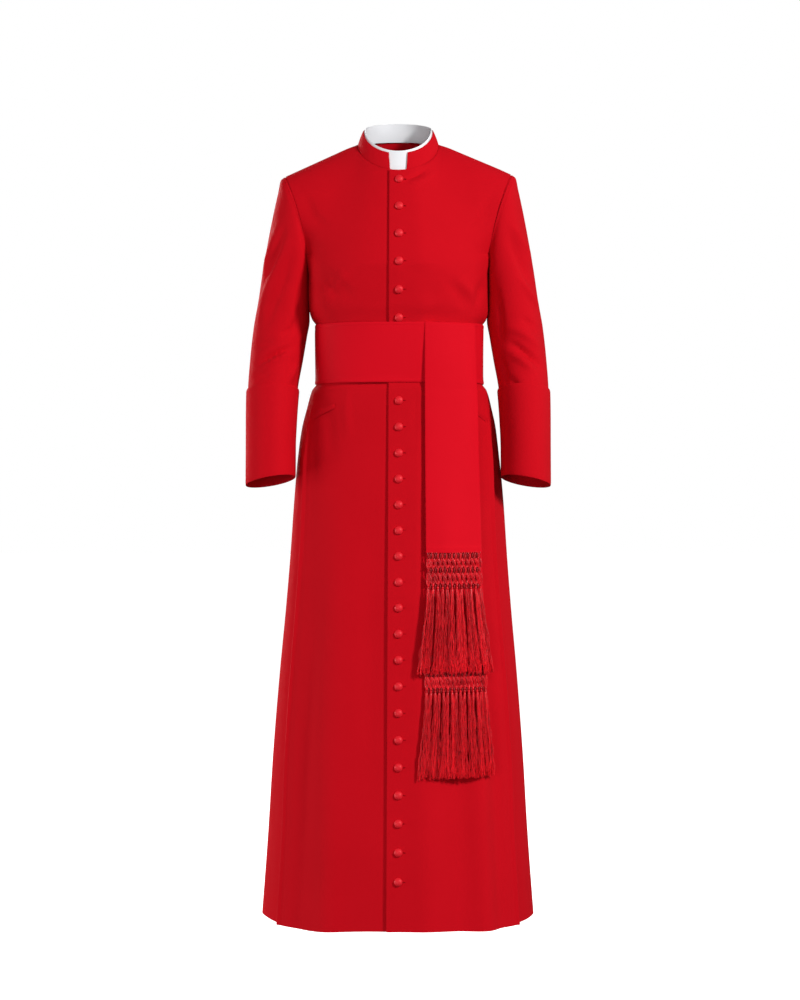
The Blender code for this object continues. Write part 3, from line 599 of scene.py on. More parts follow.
panels = {
    "rowStep": 7.0, "archRows": 64, "frontColumns": 58, "sideColumns": 40, "backColumns": 60,
    "frontWidth": 190.0, "sideWidth": 150.0, "backWidth": 170.0, "relaxRounds": 60,
    "frontDrift": 0.6, "frontCreases": 1.8,
    "lapShares": (1.0, 0.97, 0.93, 0.88, 0.8, 0.6, 0.4, 0.2),
    "lapNeck": 15.5, "lapHem": 21.0, "underLap": 20.0,
    "lapRise": 4.4, "lapSlope": 0.1, "lapFade": (0.12, 0.27), "lapTuck": 0.4, "lapTuckWidth": 1.4,
    "pleatRise": 2.4, "pleatSpan": (0.80, 0.95), "pleatFull": -590.0, "pleatRoll": 1.2, "pleatRollWidth": 4.0,
    "pleatRidge": 4.4, "pleatRidgeAt": 6.0, "pleatRidgeWidth": 4.0,
    "tuck": 14.0, "tuckFrom": -620.0, "tuckFull": -820.0, "sideDip": 1.2, "seamDip": 0.7, "seamDipWidth": 1.6,
}


def bodyRows():
    return spaced(body["hem"], body["chest"], panels["rowStep"], fine=body["waistEdges"], reach=8.0)


def archSteps():
    return np.linspace(0.0, 1.0, panels["archRows"])[1:]


def shares(count, width, start=True, end=True):  # even columns, with close ones at the panel's edges
    values = list(np.linspace(0.0, 1.0, count))
    for d in (1.0, 2.0, 3.2, 5.0):
        if start:
            values.append(d / width)
        if end:
            values.append(1.0 - d / width)
    return np.unique(np.round(values, 5))


def pressedEdge(share, height, width):
    away = (1.0 - share) * width
    rise = panels["pleatRise"] * smooth(ramp(share, *panels["pleatSpan"]))
    edge = np.clip(1.0 - away / panels["pleatRollWidth"], 0.0, 1.0)
    roll = panels["pleatRoll"] * (1.0 - np.sqrt(np.clip(1.0 - edge ** 2, 0.0, 1.0)))
    ridge = panels["pleatRidge"] * hump(away, panels["pleatRidgeAt"], panels["pleatRidgeWidth"])
    return ramp(height, body["hipFrom"], panels["pleatFull"]) * (rise - roll + ridge)


def seamDip(away):
    return -panels["seamDip"] * hump(away, 0.0, panels["seamDipWidth"])


def relax(p, weight):  # evens out the surface as far as the weight allows
    for _ in range(panels["relaxRounds"]):
        p[:, 1:-1] += weight[:, 1:-1, None] * (0.5 * (p[:, :-2] + p[:, 2:]) - p[:, 1:-1])
        p[1:-1] += 0.5 * weight[1:-1, :, None] * (0.5 * (p[:-2] + p[2:]) - p[1:-1])
    return p


def relaxWeight(share, lowRows, steps):
    inside = smooth(ramp(share, 0.0, 0.05)) * smooth(ramp(share, 1.0, 0.95))
    shoulder = hump(share, body["neckShare"], 0.20)[None, :] * smooth(ramp(1.0 - steps, 0.0, 0.25))
    shoulder = shoulder * smooth(ramp(share, 0.0, 0.15))
    high = np.maximum(shoulder, 0.8 * smooth(ramp(steps, 0.08, 0.0)) * inside)
    low = np.zeros((lowRows, len(share)))
    for k in range(8):
        low[lowRows - 1 - k] = 0.8 * (1.0 - k / 8.0) * inside
    return np.concatenate([low, high])


def creaseFade(rows, steps):  # no creases at the shoulder seam
    return np.concatenate([np.ones(len(rows)), 1.0 - ramp(steps, 0.85, 1.0)])[:, None]


def lapOver(panel, over):  # each row goes on past the centre at the panel's own depth
    lap = []
    for row in panel:
        reach = panels["underLap"]
        if over:
            reach = mix(panels["lapNeck"], panels["lapHem"], ramp(row[0, 2], 0.0, body["hem"]))
        x = reach * np.array(panels["lapShares"])
        y = np.interp(x, row[:, 0], row[:, 1])
        if over:
            y = y + panels["lapTuck"] * ramp(x, reach - panels["lapTuckWidth"], reach) ** 2
        lap.append(point(-x, y, np.interp(x, row[:, 0], row[:, 2])))
    return np.array(lap)


def makeFront(name, over, mirrored):
    rows, steps, sign = bodyRows(), archSteps(), -1.0 if mirrored else 1.0
    share = shares(panels["frontColumns"], panels["frontWidth"], start=False)
    height = rows[:, None]
    seam = seamTurn(height, "front")
    turn = share * seam
    rise = panels["lapRise"] * (1.0 - smooth(ramp(share, *panels["lapFade"]))) if over else 0.0 * share
    out = rise + frontFold(turn * sign, height) + drift(turn * sign, height) * panels["frontDrift"]
    out = out + pressedEdge(share, height, np.radians(seam) * halfWidthAt(height))
    low = bodyPoint(height, turn, out)
    high = archPoint(-1, share[None, :], steps[:, None])
    high[..., 1] -= rise * (1.0 + panels["lapSlope"] * steps[:, None])
    panel = relax(np.concatenate([low, high]), relaxWeight(share, len(rows), steps[:, None]))
    panel = waistSet(shoulderSet(hemSet(panel), mirrored), mirrored)
    corner = smooth(ramp(share, 0.86, 0.98)) * smooth(ramp(panel[..., 2], -1380.0, body["hem"]))
    panel[..., 2] -= posture["cornerStep"] * corner
    full = np.concatenate([lapOver(panel, over), panel], axis=1)
    full = bodyCreased(full, mirrored, panels["frontCreases"] * creaseFade(rows, steps))
    return clothMesh(name, full, body["wall"], True, wool, mirrored=mirrored, grain=len(panels["lapShares"]))


def makeSide(name, mirrored):
    rows, sign = bodyRows(), -1.0 if mirrored else 1.0
    share = shares(panels["sideColumns"], panels["sideWidth"])
    height = rows[:, None]
    halfWidth = halfWidthAt(height)
    tuck = np.degrees(panels["tuck"] / halfWidth) * ramp(height, panels["tuckFrom"], panels["tuckFull"])
    first, last = seamTurn(height, "front") - tuck, seamTurn(height, "back")
    turn = mix(first, last, share)
    out = sideFold(share, turn * sign, height) + drift(turn * sign, height) * smooth(share * 4.0)
    dip = ramp(height, body["hipFrom"], panels["pleatFull"]) * (1.0 - smooth(ramp(share, 0.08, 0.2)))
    out = out - panels["sideDip"] * dip + seamDip((1.0 - share) * np.radians(last - first) * halfWidth)
    low = bodyPoint(height, turn, out)
    q = np.linspace(0.0, 1.0, 7)[1:, None]  # rows from the chest ring up to the armhole
    base = bodyPoint(body["chest"], mix(first[-1], last[-1], share))
    top = armholePoint(mix(body["lowTurn"], 360.0 - body["lowTurn"], share))
    high = mix(base[None], top[None], q[..., None])
    front = archPoint(-1, 1.0, q[:, 0] / body["archSteps"]) - high[:, 0]
    back = archPoint(1, 1.0, q[:, 0] / body["archSteps"]) - high[:, -1]
    high = high + front[:, None] * (1.0 - share)[None, :, None] + back[:, None] * share[None, :, None]
    full = waistSet(shoulderSet(hemSet(np.concatenate([low, high])), mirrored), mirrored)
    return clothMesh(name, full, body["wall"], True, wool, mirrored=mirrored, grain=len(share) // 2)


def makeBack(name, mirrored):
    rows, steps, sign = bodyRows(), archSteps(), -1.0 if mirrored else 1.0
    share = shares(panels["backColumns"], panels["backWidth"])[::-1]
    height = rows[:, None]
    seam = seamTurn(height, "back")
    turn = mix(180.0, seam, share)
    width = np.radians(180.0 - seam) * halfWidthAt(height)
    out = backFold(share, turn * sign, height) + drift(turn * sign, height)
    out = out + seamDip(share * width) + seamDip((1.0 - share) * width)
    low = bodyPoint(height, turn, out)
    high = archPoint(1, share[None, :], steps[:, None])
    full = relax(np.concatenate([low, high]), relaxWeight(share, len(rows), steps[:, None]))
    full = waistSet(shoulderSet(full, mirrored), mirrored)
    full[:, share == 0.0, 0] = 0.0
    full = bodyCreased(full, mirrored, creaseFade(rows, steps))
    full[:, share == 0.0, 0] = 0.0  # the centre back seam stays in the middle
    return clothMesh(name, full, body["wall"], True, wool, mirrored=mirrored, grain=len(share) - 1)


frontLeft = makeFront("cloth_front_left", True, False)
frontRight = makeFront("cloth_front_right", False, True)
sideLeft, sideRight = makeSide("cloth_side_left", False), makeSide("cloth_side_right", True)
backLeft, backRight = makeBack("cloth_back_left", False), makeBack("cloth_back_right", True)
print("body panels made")


# Sleeves. Rings: place along, outer x and z, inner x and z, centre y, half depth, flare, lean.

sleeve = {
    "rings": [
        (0, 213.6, -62, 171.6, -232.0, 0, 57.3, 1.70, 0.00),
        (1, 222.6, -67, 170.9, -240.0, 0, 61.0, 1.55, 0.00),
        (2, 228.5, -92, 170.6, -252.0, 1, 64.0, 1.40, 0.00),
        (3, 237.5, -132, 170.3, -266.0, 3, 65.0, 1.25, 0.00),
        (4, 247.7, -182, 169.8, -282.0, 6, 65.0, 1.12, 0.02),
        (5, 257.7, -237, 169.2, -302.0, 8, 64.0, 1.05, 0.04),
        (6, 266.0, -293, 168.6, -330.0, 8, 63.0, 1.00, 0.06),
        (7, 275.0, -346, 173.6, -362.0, 4, 62.0, 1.00, 0.10),
        (8, 280.8, -404, 180.6, -406.0, -7, 60.0, 1.00, 0.16),
        (9, 284.4, -467, 190.3, -465.0, -22, 58.0, 1.00, 0.20),
        (10, 284.8, -525, 193.5, -520.0, -34, 57.0, 1.00, 0.20),
        (11, 284.8, -585, 195.0, -574.0, -45, 56.5, 1.00, 0.18),
        (12, 284.8, -643, 195.0, -626.0, -54, 56.0, 1.00, 0.15),
    ],
    "columns": 88, "wall": 1.8, "ringLength": 30.0, "creaseWidth": 0.8, "creaseHeight": 2.5,
    "seamDip": 0.9, "seamDipWidth": 1.6, "rope": 1.1, "ropeAt": 5.0, "ropeWidth": 4.0, "fullFade": 32.0,
    "tuckIn": 6.0, "tuckUnder": 0.9,
}
rightCreases = [  # written on the left sleeve's own side: facing, path, half widths, height
    (1, [(224, -150), (238, -190), (252, -226), (258, -260)], 7, 12, 2.2),
    (1, [(206, -176), (220, -212), (238, -250), (256, -300), (262, -340)], 8, 16, 2.4),
    (1, [(214, -160), (230, -210), (250, -262)], 9, 9, -2.0),
    (1, [(200, -210), (214, -262), (236, -310), (250, -352)], 14, 10, -2.0),
    (1, [(200, -384), (226, -396), (246, -406), (266, -416)], 6, 9, -3.6),  # in the elbow
    (1, [(204, -398), (226, -406), (256, -424)], 8, 6, 2.6),
    (1, [(232, -372), (250, -378), (270, -384)], 9, 9, -1.8),
    (1, [(238, -436), (256, -440), (270, -444)], 8, 8, -2.0),
    (1, [(192, -414), (200, -436), (206, -452)], 4, 6, 2.2),
    (1, [(188, -330), (200, -352), (222, -362)], 9, 9, -1.6),
    (1, [(182, -262), (188, -310), (192, -360)], 7, 9, -2.0),
    (-1, [(214, -150), (232, -200), (250, -262), (258, -330)], 12, 9, 2.4),  # behind
    (-1, [(196, -190), (214, -250), (236, -306)], 10, 10, -2.4),
    (-1, [(192, -372), (218, -392), (252, -398), (270, -392)], 8, 8, -3.0),
    (-1, [(196, -400), (226, -420), (262, -424)], 9, 8, 2.2),
    (-1, [(192, -430), (226, -446), (264, -446)], 9, 8, -2.0),
    (-1, [(186, -300), (206, -340), (240, -356)], 9, 9, -2.0),
]
leftCreases = [
    (1, [(214, -158), (230, -182), (245, -206), (252, -232)], 12, 7, 2.0),
    (1, [(230, -256), (248, -282), (268, -312)], 11, 6, 2.4),
    (1, [(206, -168), (222, -206), (240, -246), (258, -290)], 9, 12, -2.2),
    (1, [(232, -330), (246, -340), (258, -350)], 7, 7, -1.6),
    (1, [(206, -376), (222, -384), (240, -396), (256, -410), (272, -424)], 7, 10, -3.8),  # in the elbow
    (1, [(204, -350), (228, -356), (252, -372), (268, -390)], 12, 9, 2.2),
    (1, [(210, -398), (230, -408), (256, -430)], 8, 8, 2.2),
    (1, [(206, -440), (216, -452), (230, -470)], 7, 8, -1.8),
    (1, [(192, -400), (200, -432), (204, -456)], 5, 6, -2.4),
    (1, [(184, -270), (192, -320), (196, -380)], 8, 10, -1.8),
    (1, [(206, -486), (216, -500), (230, -520)], 9, 9, -1.4),
    (-1, [(212, -146), (236, -206), (252, -270), (262, -340)], 9, 12, 2.2),  # behind
    (-1, [(198, -196), (218, -256), (240, -312)], 10, 10, -2.2),
    (-1, [(194, -368), (222, -386), (256, -390), (272, -384)], 8, 8, -3.0),
    (-1, [(196, -396), (230, -414), (266, -418)], 9, 8, 2.4),
    (-1, [(194, -428), (228, -442), (268, -440)], 9, 8, -2.0),
    (-1, [(188, -306), (210, -344), (244, -352)], 9, 9, -2.0),
]


def sleevePoint(along, turn, out=0.0):  # turn runs round from 0 at the outer edge
    along, turn = np.broadcast_arrays(np.asarray(along, float), np.asarray(turn, float))
    ring = alongTable(sleeve["rings"], along)
    angle = np.radians(turn)
    lift = (1.0 + np.cos(angle)) / 2.0
    x = mix(ring[..., 2], ring[..., 0], lift ** ring[..., 6])
    y = ring[..., 5] * np.sin(angle)
    z = mix(ring[..., 3], ring[..., 1], lift) - ring[..., 7] * y
    return point(x + out * np.cos(angle), ring[..., 4] + y + out * np.sin(angle), z)


def sleeveColumns():
    return np.arange(sleeve["columns"]) * 360.0 / sleeve["columns"]


def makeSleeve(name, creases, mirrored):
    along = np.concatenate([np.linspace(0.0, 0.6, 16), np.linspace(0.6, 12.0, 120)])
    along = np.unique(np.round(along, 4))[::-1]
    turn = sleeveColumns()
    away = along[:, None] * sleeve["ringLength"]
    head = 0.5 + 0.5 * np.cos(np.radians(turn))[None, :]
    out = -sleeve["seamDip"] * hump(away, 0.0, sleeve["seamDipWidth"])
    out = out + sleeve["rope"] * hump(away, sleeve["ropeAt"], sleeve["ropeWidth"]) * (0.3 + 0.7 * head)
    out = out + body["wall"] * (1.0 - smooth(ramp(away, 0.0, sleeve["fullFade"])))
    fade = smooth(ramp(along, 0.2, 1.2)) * (1.0 - smooth(ramp(along, 9.6, 10.6)))
    wide, high = sleeve["creaseWidth"], sleeve["creaseHeight"]
    creases = [(f, path, wide * near, wide * far, high * size) for f, path, near, far, size in creases]
    p = creased(sleevePoint(along[:, None], turn[None, :], out), creases, closed=True, fade=fade[:, None])
    tuck = sleevePoint(0.0, turn, -sleeve["tuckUnder"])[None]  # two rows go in behind the armhole's edge
    p = np.concatenate([p, tuck - np.array([0.6, 0.0, 0.0]), tuck - np.array([sleeve["tuckIn"], 0.0, 0.0])])
    p = shoulderSet(p, mirrored)
    return clothMesh(name, p, sleeve["wall"], False, wool, closed=True, mirrored=mirrored)


cuff = {
    "top": 9.0, "mouth": 12.0, "rows": 34, "ringLength": 60.0, "wall": 2.0,
    "stand": 0.4, "flare": 0.9, "flareTo": 11.2, "topRoll": 0.8, "mouthRoll": 0.5, "rollWidth": 1.5,
    "wobble": 0.5, "drop": 2.5, "dropRows": (1.0, 0.8, 0.4),
}


def makeCuff(name, mirrored):
    top, mouth = cuff["top"], cuff["mouth"]
    edges = [top + 0.015, top + 0.03, top + 0.05, mouth - 0.05, mouth - 0.02]
    along = np.unique(np.round(np.concatenate([np.linspace(top, mouth, cuff["rows"]), edges]), 4))[::-1]
    turn = sleeveColumns()
    stand = cuff["stand"] + cuff["flare"] * (1.0 - smooth(ramp(along, top, cuff["flareTo"])))
    roll = cuff["topRoll"] * hump((along - top) * cuff["ringLength"], 0.0, cuff["rollWidth"])
    roll = roll + cuff["mouthRoll"] * hump((mouth - along) * cuff["ringLength"], 0.0, cuff["rollWidth"])
    around = cuff["wobble"] * np.sin(np.radians(turn) * 3.0 + 0.6)[None, :]
    wobble = around * np.sin((along[:, None] - top) * 1.1)
    p = sleevePoint(along[:, None], turn[None, :], (stand - roll)[:, None] + wobble)
    for row, part in enumerate(cuff["dropRows"]):
        p[row, :, 2] -= cuff["drop"] * part
    return clothMesh(name, p, cuff["wall"], True, wool, closed=True, mirrored=mirrored)


sleeveLeft = makeSleeve("cloth_sleeve_left", leftCreases, False)
sleeveRight = makeSleeve("cloth_sleeve_right", rightCreases, True)
cuffLeft, cuffRight = makeCuff("cloth_cuff_left", False), makeCuff("cloth_cuff_right", True)
print("sleeves and cuffs made")


# Collar and its white band.

collar = {
    "rimHalf": 67.0, "rimFront": 68.0, "rimBack": 59.0, "rimHeight": 28.0, "rimDrop": 50.5, "rimRise": 17.0,
    "notchSeam": 15.6, "notchRim": 17.8, "wall": 1.8, "columns": 150, "inset": 0.3, "lift": 0.5,
    "bulge": 0.8, "rimRoll": 0.7, "seamRoll": 0.5,
    "bandProud": 5.0, "bandBelow": 1.5, "bandStand": 0.8, "bandWall": 1.0, "bandRows": 16,
}


def rimPoint(turn):
    c = np.cos(np.radians(turn))
    depth = np.where(c >= 0.0, collar["rimFront"], collar["rimBack"])
    rise = np.where(c >= 0.0, -collar["rimDrop"], -collar["rimRise"])
    return point(collar["rimHalf"] * np.sin(np.radians(turn)), -depth * c, collar["rimHeight"] + rise * c)


def collarPoint(turn, share, inward=0.0):  # share runs from 0 at the neck seam to 1 at the rim
    c, s = np.cos(np.radians(turn)), np.sin(np.radians(turn))
    depth = np.where(c >= 0.0, body["neckFront"], body["neckBack"])
    rise = np.where(c >= 0.0, -body["neckDrop"], -body["neckRise"])
    foot = point(body["neckHalf"] * s, -depth * c, rise * c)
    p = mix(foot, rimPoint(turn), np.broadcast_to(share, np.broadcast(turn, share).shape)[..., None])
    size = np.hypot(p[..., 0], p[..., 1])
    p[..., 0] -= p[..., 0] / size * (inward + collar["inset"])
    p[..., 1] -= p[..., 1] / size * (inward + collar["inset"])
    p[..., 2] += collar["lift"]
    return p


def makeCollar():
    share = np.unique(np.concatenate([np.linspace(0.0, 1.0, 13), [0.03, 0.06, 0.95, 0.975]]))[:, None]
    notch = mix(collar["notchSeam"], collar["notchRim"], share)
    start = np.degrees(np.arcsin(notch / mix(body["neckHalf"], collar["rimHalf"], share)))
    turn = mix(start, 360.0 - start, np.linspace(0.0, 1.0, collar["columns"])[None, :])
    inward = -collar["bulge"] * np.sin(pi * share) + collar["rimRoll"] * ramp(share, 0.95, 1.0) ** 2
    inward = inward + collar["seamRoll"] * (1.0 - ramp(share, 0.0, 0.05)) ** 2
    return clothMesh("cloth_collar", collarPoint(turn, share, inward), collar["wall"], False, wool)


def makeLiner():
    front = np.array(0.0)
    height = float(np.linalg.norm(rimPoint(front) - collarPoint(front, front)))
    share = np.linspace(-collar["bandBelow"] / height, 1.0 + collar["bandProud"] / height, collar["bandRows"])
    turn = np.arange(collar["columns"])[None, :] * 360.0 / collar["columns"]
    p = collarPoint(turn, share[:, None], collar["wall"] + collar["bandStand"])
    return clothMesh("collar_band", p, collar["bandWall"], False, linen, closed=True)


collarPiece, linerPiece = makeCollar(), makeLiner()
print("collar made")


# Sash: the band round the waist and its two hanging ends.

sash = {
    "top": -342.5, "foot": -453.0, "wall": 1.4, "stand": 0.8, "ease": 0.3,
    "lift": 4.3, "liftTurns": (9.5, 62.0),
    "hemFold": 0.35, "hemFrom": 4.2, "hemTo": 5.4, "edgeRoll": 0.6, "edgeWidth": 1.4,
    "stretches": ((0.0, 36.0, 24), (36.0, 324.0, 150), (324.0, 360.0, 24)),  # closer columns over the lap
    "backStand": 4.0, "frontStand": 9.4, "backSeat": 2.5, "frontSeat": 4.5, "clearFrom": -458.0,
    "looseFrom": -466.0, "hangOut": 3.0, "hangLength": 180.0, "frontFoot": -770.0, "backFoot": -960.0,
    "endColumns": 34, "endWidth": 96.0, "endHem": 0.5, "endRoll": 0.7, "endRollWidth": 1.6, "overStand": 0.6,
    "topDrop": 1.5, "topSlope": 3.5, "topSpan": 30.0,
    "turnOver": (25.0, 50.0, 75.0, 90.0), "turnDepth": 3.1936, "turnRise": 2.2, "turnBack": 3.0,
    "edges": [  # height, left and right edge of the ends
        (-1240, 48.0, 166.0), (-991, 48.0, 165.0), (-960, 48.5, 164.0), (-880, 50.0, 159.0),
        (-770, 51.5, 154.0), (-600, 50.5, 149.5), (-458, 50.0, 142.0), (-395, 50.0, 140.0),
        (-342.5, 50.0, 138.8), (-330, 50.0, 138.8),
    ],
}


def makeBand():
    foot, top = sash["foot"], sash["top"]
    height = spaced(foot, top, 5.0, fine=(foot + 5.0, top - 5.0), reach=5.0)[:, None]
    columns = [np.linspace(start, end, count, endpoint=False) for start, end, count in sash["stretches"]]
    turn = np.concatenate(columns)[None, :]
    turn = np.where(turn > 180.0, turn - 360.0, turn)
    around = np.radians(turn)
    near = 1.0 - smooth(ramp(np.abs(turn), *sash["liftTurns"]))
    edge = np.minimum(height - foot, top - height)
    hem = sash["hemFold"] * (1.0 - smooth(ramp(edge, sash["hemFrom"], sash["hemTo"])))
    hem = hem - sash["edgeRoll"] * (1.0 - ramp(edge, 0.0, sash["edgeWidth"])) ** 2
    soft = 0.5 * np.sin(around * 4.0 + height / 60.0) + 0.35 * np.sin(around * 9.0 - height / 45.0 + 1.0)
    out = body["wall"] + sash["stand"] + sash["lift"] * near + hem
    out = out + soft * smooth(ramp(edge, 2.0, 16.0)) + sash["ease"]
    p = waistSet(bodyPoint(height, turn, out), False)
    return clothMesh("sash_band_cloth", p, sash["wall"], True, silk, closed=True)


def bodyAtX(x, level, out):  # the point that stands at this x once it is moved out
    ring = alongTable(body["rings"], level)
    at = x
    for _ in range(5):
        turn = np.degrees(np.arcsin(np.clip(at / ring[..., 0], 0.0, 1.0) ** (ring[..., 3] / 2.0)))
        p = bodyPoint(level, turn, out)
        at = at + 0.8 * (x - p[..., 0])
    return p


def tailPoint(share, height, stand, out=0.0):  # seated on the band at the top, hanging free below it
    share, height = np.broadcast_arrays(np.asarray(share, float), np.asarray(height, float))
    edges = alongTable(sash["edges"], height)
    x = mix(edges[..., 0], edges[..., 1], share)
    loose = bodyAtX(x, np.minimum(height, sash["looseFrom"]), body["wall"] + stand + out)
    layer = np.clip((stand - sash["backStand"]) / (sash["frontStand"] - sash["backStand"]), 0.0, 1.0)
    seat = mix(sash["backSeat"], sash["frontSeat"], layer)
    seatOut = body["wall"] + sash["stand"] + sash["wall"] + seat + out
    seated = bodyAtX(x, np.full_like(height, sash["top"]), seatOut)
    p = mix(seated, loose, ramp(height, sash["top"], sash["clearFrom"])[..., None])
    p[..., 2] = height
    return waistSet(p, False)


def hangOut(height, foot):  # the foot and the fringe stand a little clear of what is behind
    return sash["hangOut"] * smooth(ramp(height, foot + sash["hangLength"], foot))


def makeTail(name, foot, stand, over):
    height = spaced(foot, sash["top"], 6.0, fine=(foot + 6.0, sash["top"] - 4.0), reach=6.0)[:, None]
    share = shares(sash["endColumns"], sash["endWidth"])
    side = np.minimum(share, 1.0 - share) * sash["endWidth"]
    fall = ramp(height, sash["top"], foot)
    soft = 1.1 * np.sin(share * 5.2 + height / 120.0) * fall
    soft = soft + 0.8 * np.sin(share * 9.0 - height / 90.0 + 2.0) * fall * fall
    soft = soft + 1.6 * hump(share, 0.86, 0.16) * (1.0 - fall)
    soft = soft - sash["endRoll"] * (1.0 - ramp(side, 0.0, sash["endRollWidth"])) ** 2
    hem = sash["endHem"] * (1.0 - smooth(ramp(height - foot, 10.0, 11.5)))
    out = np.maximum(soft, -1.2) + hem + hangOut(height, foot) + (sash["overStand"] if over else 0.0)
    p = tailPoint(share[None, :], height, stand, out)
    if over:  # the end turns over the band's top edge
        turns = np.radians(np.array(sash["turnOver"]))[:, None]
        bend = np.repeat(p[-1][None], len(turns), axis=0)
        bend[..., 1] += sash["turnDepth"] * (1.0 - np.cos(turns))
        bend[..., 2] += sash["turnRise"] * np.sin(turns)
        back = bend[-1][None].copy()
        back[..., 1] += sash["turnBack"]
        p = np.concatenate([p, bend, back])
        lower = sash["topDrop"] + sash["topSlope"] * share[None, :]
        p[..., 2] -= lower * smooth(ramp(p[..., 2], sash["top"] - sash["topSpan"], sash["top"]))
    return clothMesh(name, p, sash["wall"], True, silk)


band = makeBand()
tailBack = makeTail("sash_end_back", sash["backFoot"], sash["backStand"], False)
tailFront = makeTail("sash_end_front", sash["frontFoot"], sash["frontStand"], True)
print("sash made")


# Thread work: paths of points become threads in Geometry Nodes.

def socketId(tree, name):
    items = tree.interface.items_tree
    return next(item.identifier for item in items if item.name == name and item.in_out == "INPUT")


def threadTree():
    tree = bpy.data.node_groups.new("threads_on_paths", "GeometryNodeTree")
    inputs = (("Geometry", "Geometry"), ("Thread radius", "Float"), ("Sides", "Int"), ("Cloth", "Material"))
    for name, kind in inputs:
        tree.interface.new_socket(name, in_out="INPUT", socket_type="NodeSocket" + kind)
    tree.interface.new_socket("Geometry", in_out="OUTPUT", socket_type="NodeSocketGeometry")
    add, link = tree.nodes.new, tree.links.new
    start, end = add("NodeGroupInput"), add("NodeGroupOutput")
    curve, sweep = add("GeometryNodeMeshToCurve"), add("GeometryNodeCurveToMesh")
    ring, even = add("GeometryNodeCurvePrimitiveCircle"), add("GeometryNodeSetShadeSmooth")
    real, paint = add("GeometryNodeRealizeInstances"), add("GeometryNodeSetMaterial")
    thick, scale = add("GeometryNodeInputNamedAttribute"), add("ShaderNodeMath")
    thick.data_type = "FLOAT"
    thick.inputs["Name"].default_value = "thick"
    scale.operation = "MULTIPLY"
    ring.inputs["Radius"].default_value = 1.0
    sweep.inputs["Fill Caps"].default_value = True
    link(start.outputs["Geometry"], curve.inputs["Mesh"])
    link(curve.outputs["Curve"], sweep.inputs["Curve"])
    link(thick.outputs["Attribute"], scale.inputs[0])
    link(start.outputs["Thread radius"], scale.inputs[1])
    link(scale.outputs[0], sweep.inputs["Scale"])
    link(start.outputs["Sides"], ring.inputs["Resolution"])
    link(ring.outputs["Curve"], sweep.inputs["Profile Curve"])
    link(sweep.outputs["Mesh"], even.inputs["Geometry"])
    link(even.outputs["Geometry"], real.inputs["Geometry"])
    link(real.outputs["Geometry"], paint.inputs["Geometry"])
    link(start.outputs["Cloth"], paint.inputs["Material"])
    link(paint.outputs["Geometry"], end.inputs["Geometry"])
    return tree


threads = threadTree()


def sweepThreads(name, paths, thickness, radius, sides, material, paintedTipLight=0.0, shades=None):
    points, edges, thick, tones = [], [], [], []
    shade = np.random.default_rng(len(paths))
    for k, (path, size) in enumerate(zip(paths, thickness)):
        first = len(points)
        # The shades darken chosen paths: painted shade on the cords behind the net's gaps.
        tone = shade.uniform(0.0, 1.0) + (shades[k] if shades else 0.0)
        # The tip term lightens each path toward its end: painted light on the tassel tips, where the spread
        # strands catch the lamp.
        tones.extend(tone + paintedTipLight * np.linspace(0.0, 1.0, len(path)) ** 5)
        points.extend(path.tolist())
        thick.extend(list(size))
        edges.extend([(first + n, first + n + 1) for n in range(len(path) - 1)])
    mesh = bpy.data.meshes.new(name)
    mesh.from_pydata((np.array(points) * mm).tolist(), edges, [])
    for key, values in (("thick", thick), ("tone", tones)):
        mesh.attributes.new(key, "FLOAT", "POINT").data.foreach_set("value", np.array(values, np.float32))
    mesh.materials.append(material)
    piece = inScene(name, mesh)
    nodes = piece.modifiers.new("threads", "NODES")
    nodes.node_group = threads
    nodes[socketId(threads, "Thread radius")] = radius * mm
    nodes[socketId(threads, "Sides")] = sides
    nodes[socketId(threads, "Cloth")] = material
    settle(piece)
    return piece


# Fringes: a knotted net heading and tassels. Flat places are x across, y up from the cloth's edge, z out.

fringe = {
    "width": 120.0, "length": 158.0, "depth": 5.4, "edge": -0.3, "cordRadius": 1.0, "threadRadius": 0.70,
    "loop": 10.5, "mesh": 27.0, "knot": 37.0, "gather": 57.0, "head": 66.0,  # depths of the net's rows
    # behind: how much darker the cords laid behind the net's gaps are, painted shade.
    "cords": (-2.1, 0.0, 2.1), "cordSides": 6, "behind": -1.6, "threadSides": 3, "paintedTipLight": 0.5,
    # The tip tone is painted light on the tassel tips.
    "clumps": 7, "strands": 7, "clumpRadius": 0.62, "strandRadius": 0.46, "spread": 1.209, "pairing": 0.22,
    "shoulder": 0.10, "tipFrom": 0.84, "neckHalf": 0.24, "bodyHalf": 0.42, "widen": 0.85,
    "neckDeep": 1.5, "bodyDeep": 3.4,
}


def lay(flat, clothFoot, stand):
    x, y, z = flat[:, 0], flat[:, 1], flat[:, 2]
    out = z + hangOut(clothFoot + y, clothFoot)
    height = clothFoot + fringe["edge"] + y
    return tailPoint(x / fringe["width"], height, stand + fringe["depth"] / 2.0, out)


def curved(places, steps=9):
    places = np.array(places, float)
    at = np.linspace(0.0, len(places) - 1.0, steps)
    return alongTable(np.column_stack([np.arange(len(places)), places]), at)


